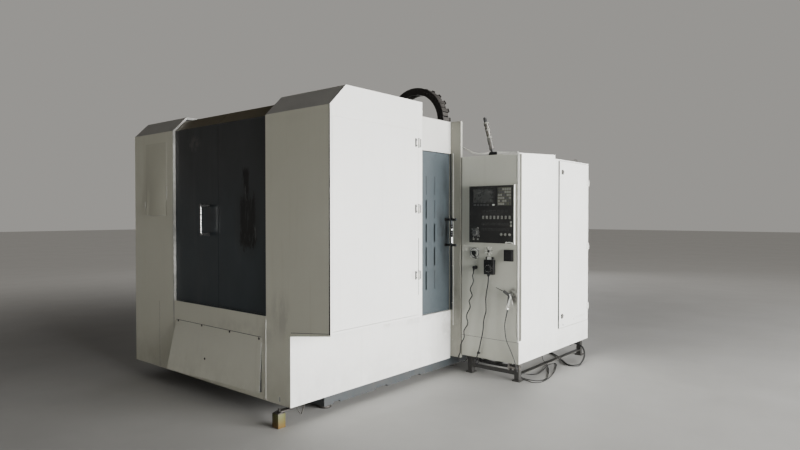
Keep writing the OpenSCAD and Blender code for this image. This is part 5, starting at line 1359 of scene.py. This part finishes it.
# cable bundle behind the column
b = B()
for k in range(6):
    x = -760 + k * 22
    b.tube(fine([(x, 3046, 640), (x, 3052, 900), (x + 6 * sin(k), 3054, 1300), (x, 3052, 1700), (x + 5 * cos(k), 3050, 2000), (x, 3046, 2240)], 6), 8 + (k % 3), 10, (1, 0.1, 0))
b.done("column_leads", "frame", m_cable)
# roof: seams, screws
b = B()
for y in (560, 1120, 1680):
    b.box(-2400, -10, y - 12, y + 12, 2545, 2548)
for y in (230, 500, 780, 1000):
    b.screw((430, y, 2545), (0, 0, 1), 5, 2.4)
for x in (-2380, -1900, -1400, -900, -400, -30):
    for y in (700, 1250, 1850, 2220):
        b.screw((x, y, 2545), (0, 0, 1), 5, 2.4)
b.done("roof_seams", "frame", m_white, bevel=0.8)
# left flank: seams and screws
b = B()
for y in (760, 1510):
    b.box(-2421.5, -2419.5, y - 14, y + 14, 134, 2540)
for y in (40, 740, 780, 1490, 1530, 2220):
    for z in (170, 700, 1250, 1800, 2340):
        b.screw((-2420, y, z), (-1, 0, 0), 4.6, 1.6)
b.done("flank_seams", "frame", m_white, bevel=0.5)
# magazine: window pane and its frame, tool tails on the wheel
b = B()
b.box(-2418.6, -2416.6, 2396, 2804, 1496, 2004)
b.done("magazine_pane", "frame", m_glass, bevel=0.4)
b = B()
for z0_, z1_ in ((1480, 1500), (2000, 2020)):
    b.box(-2420, -2417, 2380, 2820, z0_, z1_)
for y0_, y1_ in ((2380, 2400), (2800, 2820)):
    b.box(-2420, -2417, y0_, y1_, 1500, 2000)
for x in (-2250, -1950, -1650):
    b.box(x - 60, x + 60, 2950, 2953, 1300, 2200)
    for z in (1320, 2180):
        for k in (-44, 44):
            b.screw((x + k, 2953, z), (0, 1, 0), 5, 2.4)
b.done("magazine_trim", "frame", m_white, bevel=0.8)
b = B()
for k in range(20):
    a = 2 * pi * k / 20
    cx_, cz_ = -1950 + 345 * cos(a), 1750 + 345 * sin(a)
    b.lathe([(0, -46), (7, -46), (8, -40), (8, -8), (14, -6), (14, 0), (20, 0)], (cx_, 2300, cz_), (0, 1, 0), 20)
    b.lathe([(12, 0), (12, 12), (9, 14), (9, 26), (5, 30), (0, 30)], (cx_, 2470, cz_), (0, 1, 0), 20)
b.done("magazine_tools", "wheel_body", m_steel)
# machine details seen with the doors open
b = B()
for k in range(8):
    a = 2 * pi * k / 8 + 0.2
    b.hexagon((-990 + 96 * cos(a), 2170, 1300 + 96 * sin(a)), (0, -1, 0), 8, 6)
b.done("spindle_nose_bolts", "head_body", m_dark_screw)
b = B()
for py_ in (510, 1610):
    for s in (-1, 1):
        for k in (-200, -100, 0, 100, 200):
            b.hexagon((-990 + s * 252, py_ + k, 1008), (s, 0, 0), 7, 5)
b.done("pallet_bolts", "changer_body", m_dark_screw)
b = B()
for x in (-1800, -1400, -600, -200):
    b.lathe([(0, 0), (34, 0), (36, 6), (34, 14), (0, 14)], (x, 2246 - 14, 2380), (0, 1, 0), 28)
b.done("chamber_lamps", "frame", m_lens2, bevel=0.6)

# ---------------------------------------------------------------- stage
fl = bpy.data.meshes.new("floor")
S = 60.0
fl.from_pydata([(-S, -S, 0), (S, -S, 0), (S, S, 0), (-S, S, 0)], [], [(0, 1, 2, 3)])
floor = bpy.data.objects.new("floor", fl)
bpy.context.scene.collection.objects.link(floor)
g = G("floor_pale")
c = g.mix(g.rng(g.noise(0.6, 4, 0.6), 0.3, 0.7), (0.40, 0.395, 0.38), (0.44, 0.435, 0.42))
g.put(g.b.inputs["Base Color"], c)
g.put(g.b.inputs["Roughness"], g.rng(g.noise(2.0, 4), 0.3, 0.7, 0.55, 0.68))
far = g.t.nodes.new("ShaderNodeVectorMath")
far.operation = "LENGTH"
g.link(g.tc, far.inputs[0])
g.put(g.b.inputs["Emission Color"], g.mix(g.rng(far.outputs["Value"], 3.5, 12.0), (0, 0, 0), (0.18, 0.173, 0.160)))
g.b.inputs["Emission Strength"].default_value = 1.0
fl.materials.append(g.m)

world = bpy.data.worlds.new("studio")
bpy.context.scene.world = world
world.use_nodes = True
wt = world.node_tree
bg = wt.nodes["Background"]
tcw = wt.nodes.new("ShaderNodeTexCoord")
sx = wt.nodes.new("ShaderNodeSeparateXYZ")
wt.links.new(tcw.outputs["Generated"], sx.inputs[0])
rp = wt.nodes.new("ShaderNodeValToRGB")
wt.links.new(sx.outputs["Z"], rp.inputs[0])
e = rp.color_ramp.elements
e[0].position, e[0].color = 0.0, (0.50, 0.49, 0.47, 1)
e[1].position, e[1].color = 0.50, (0.020, 0.016, 0.012, 1)
k_ = rp.color_ramp.elements.new(0.22)
k_.color = (0.20, 0.185, 0.165, 1)
wt.links.new(rp.outputs[0], bg.inputs["Color"])
bg.inputs["Strength"].default_value = 0.40
# one even pale tone behind the machine
bg2 = wt.nodes.new("ShaderNodeBackground")
bg2.inputs["Color"].default_value = (0.34, 0.33, 0.31, 1)
lp = wt.nodes.new("ShaderNodeLightPath")
ms = wt.nodes.new("ShaderNodeMixShader")
wt.links.new(lp.outputs["Is Camera Ray"], ms.inputs[0])
wt.links.new(bg.outputs[0], ms.inputs[1])
wt.links.new(bg2.outputs[0], ms.inputs[2])
wt.links.new(ms.outputs[0], wt.nodes["World Output"].inputs["Surface"])


def area(name, loc, target, sx_, sy_, power, col=(1, 1, 1)):
    ld = bpy.data.lights.new(name, "AREA")
    ld.shape = "RECTANGLE"
    ld.size, ld.size_y = sx_, sy_
    ld.energy = power
    ld.color = col
    ob = bpy.data.objects.new(name, ld)
    ob.location = loc
    ob.rotation_euler = (Vector(target) - Vector(loc)).to_track_quat("-Z", "Y").to_euler()
    bpy.context.scene.collection.objects.link(ob)


area("key", (10.5, 0.7, 2.0), (0, 0.7, 1.3), 9.0, 4.0, 2980, (1.0, 0.995, 0.98))
area("fill_front", (-3.0, -9.0, 1.6), (-0.5, 0, 1.2), 7.0, 3.0, 34, (1.0, 0.985, 0.95))
area("fill_back", (-6.0, 9.0, 3.4), (0, 0, 1.2), 7.0, 3.5, 260, (1.0, 1.0, 1.0))
area("fill_top", (0, 0, 8.0), (0, 0, 0), 7.0, 7.0, 4, (1.0, 0.80, 0.55))
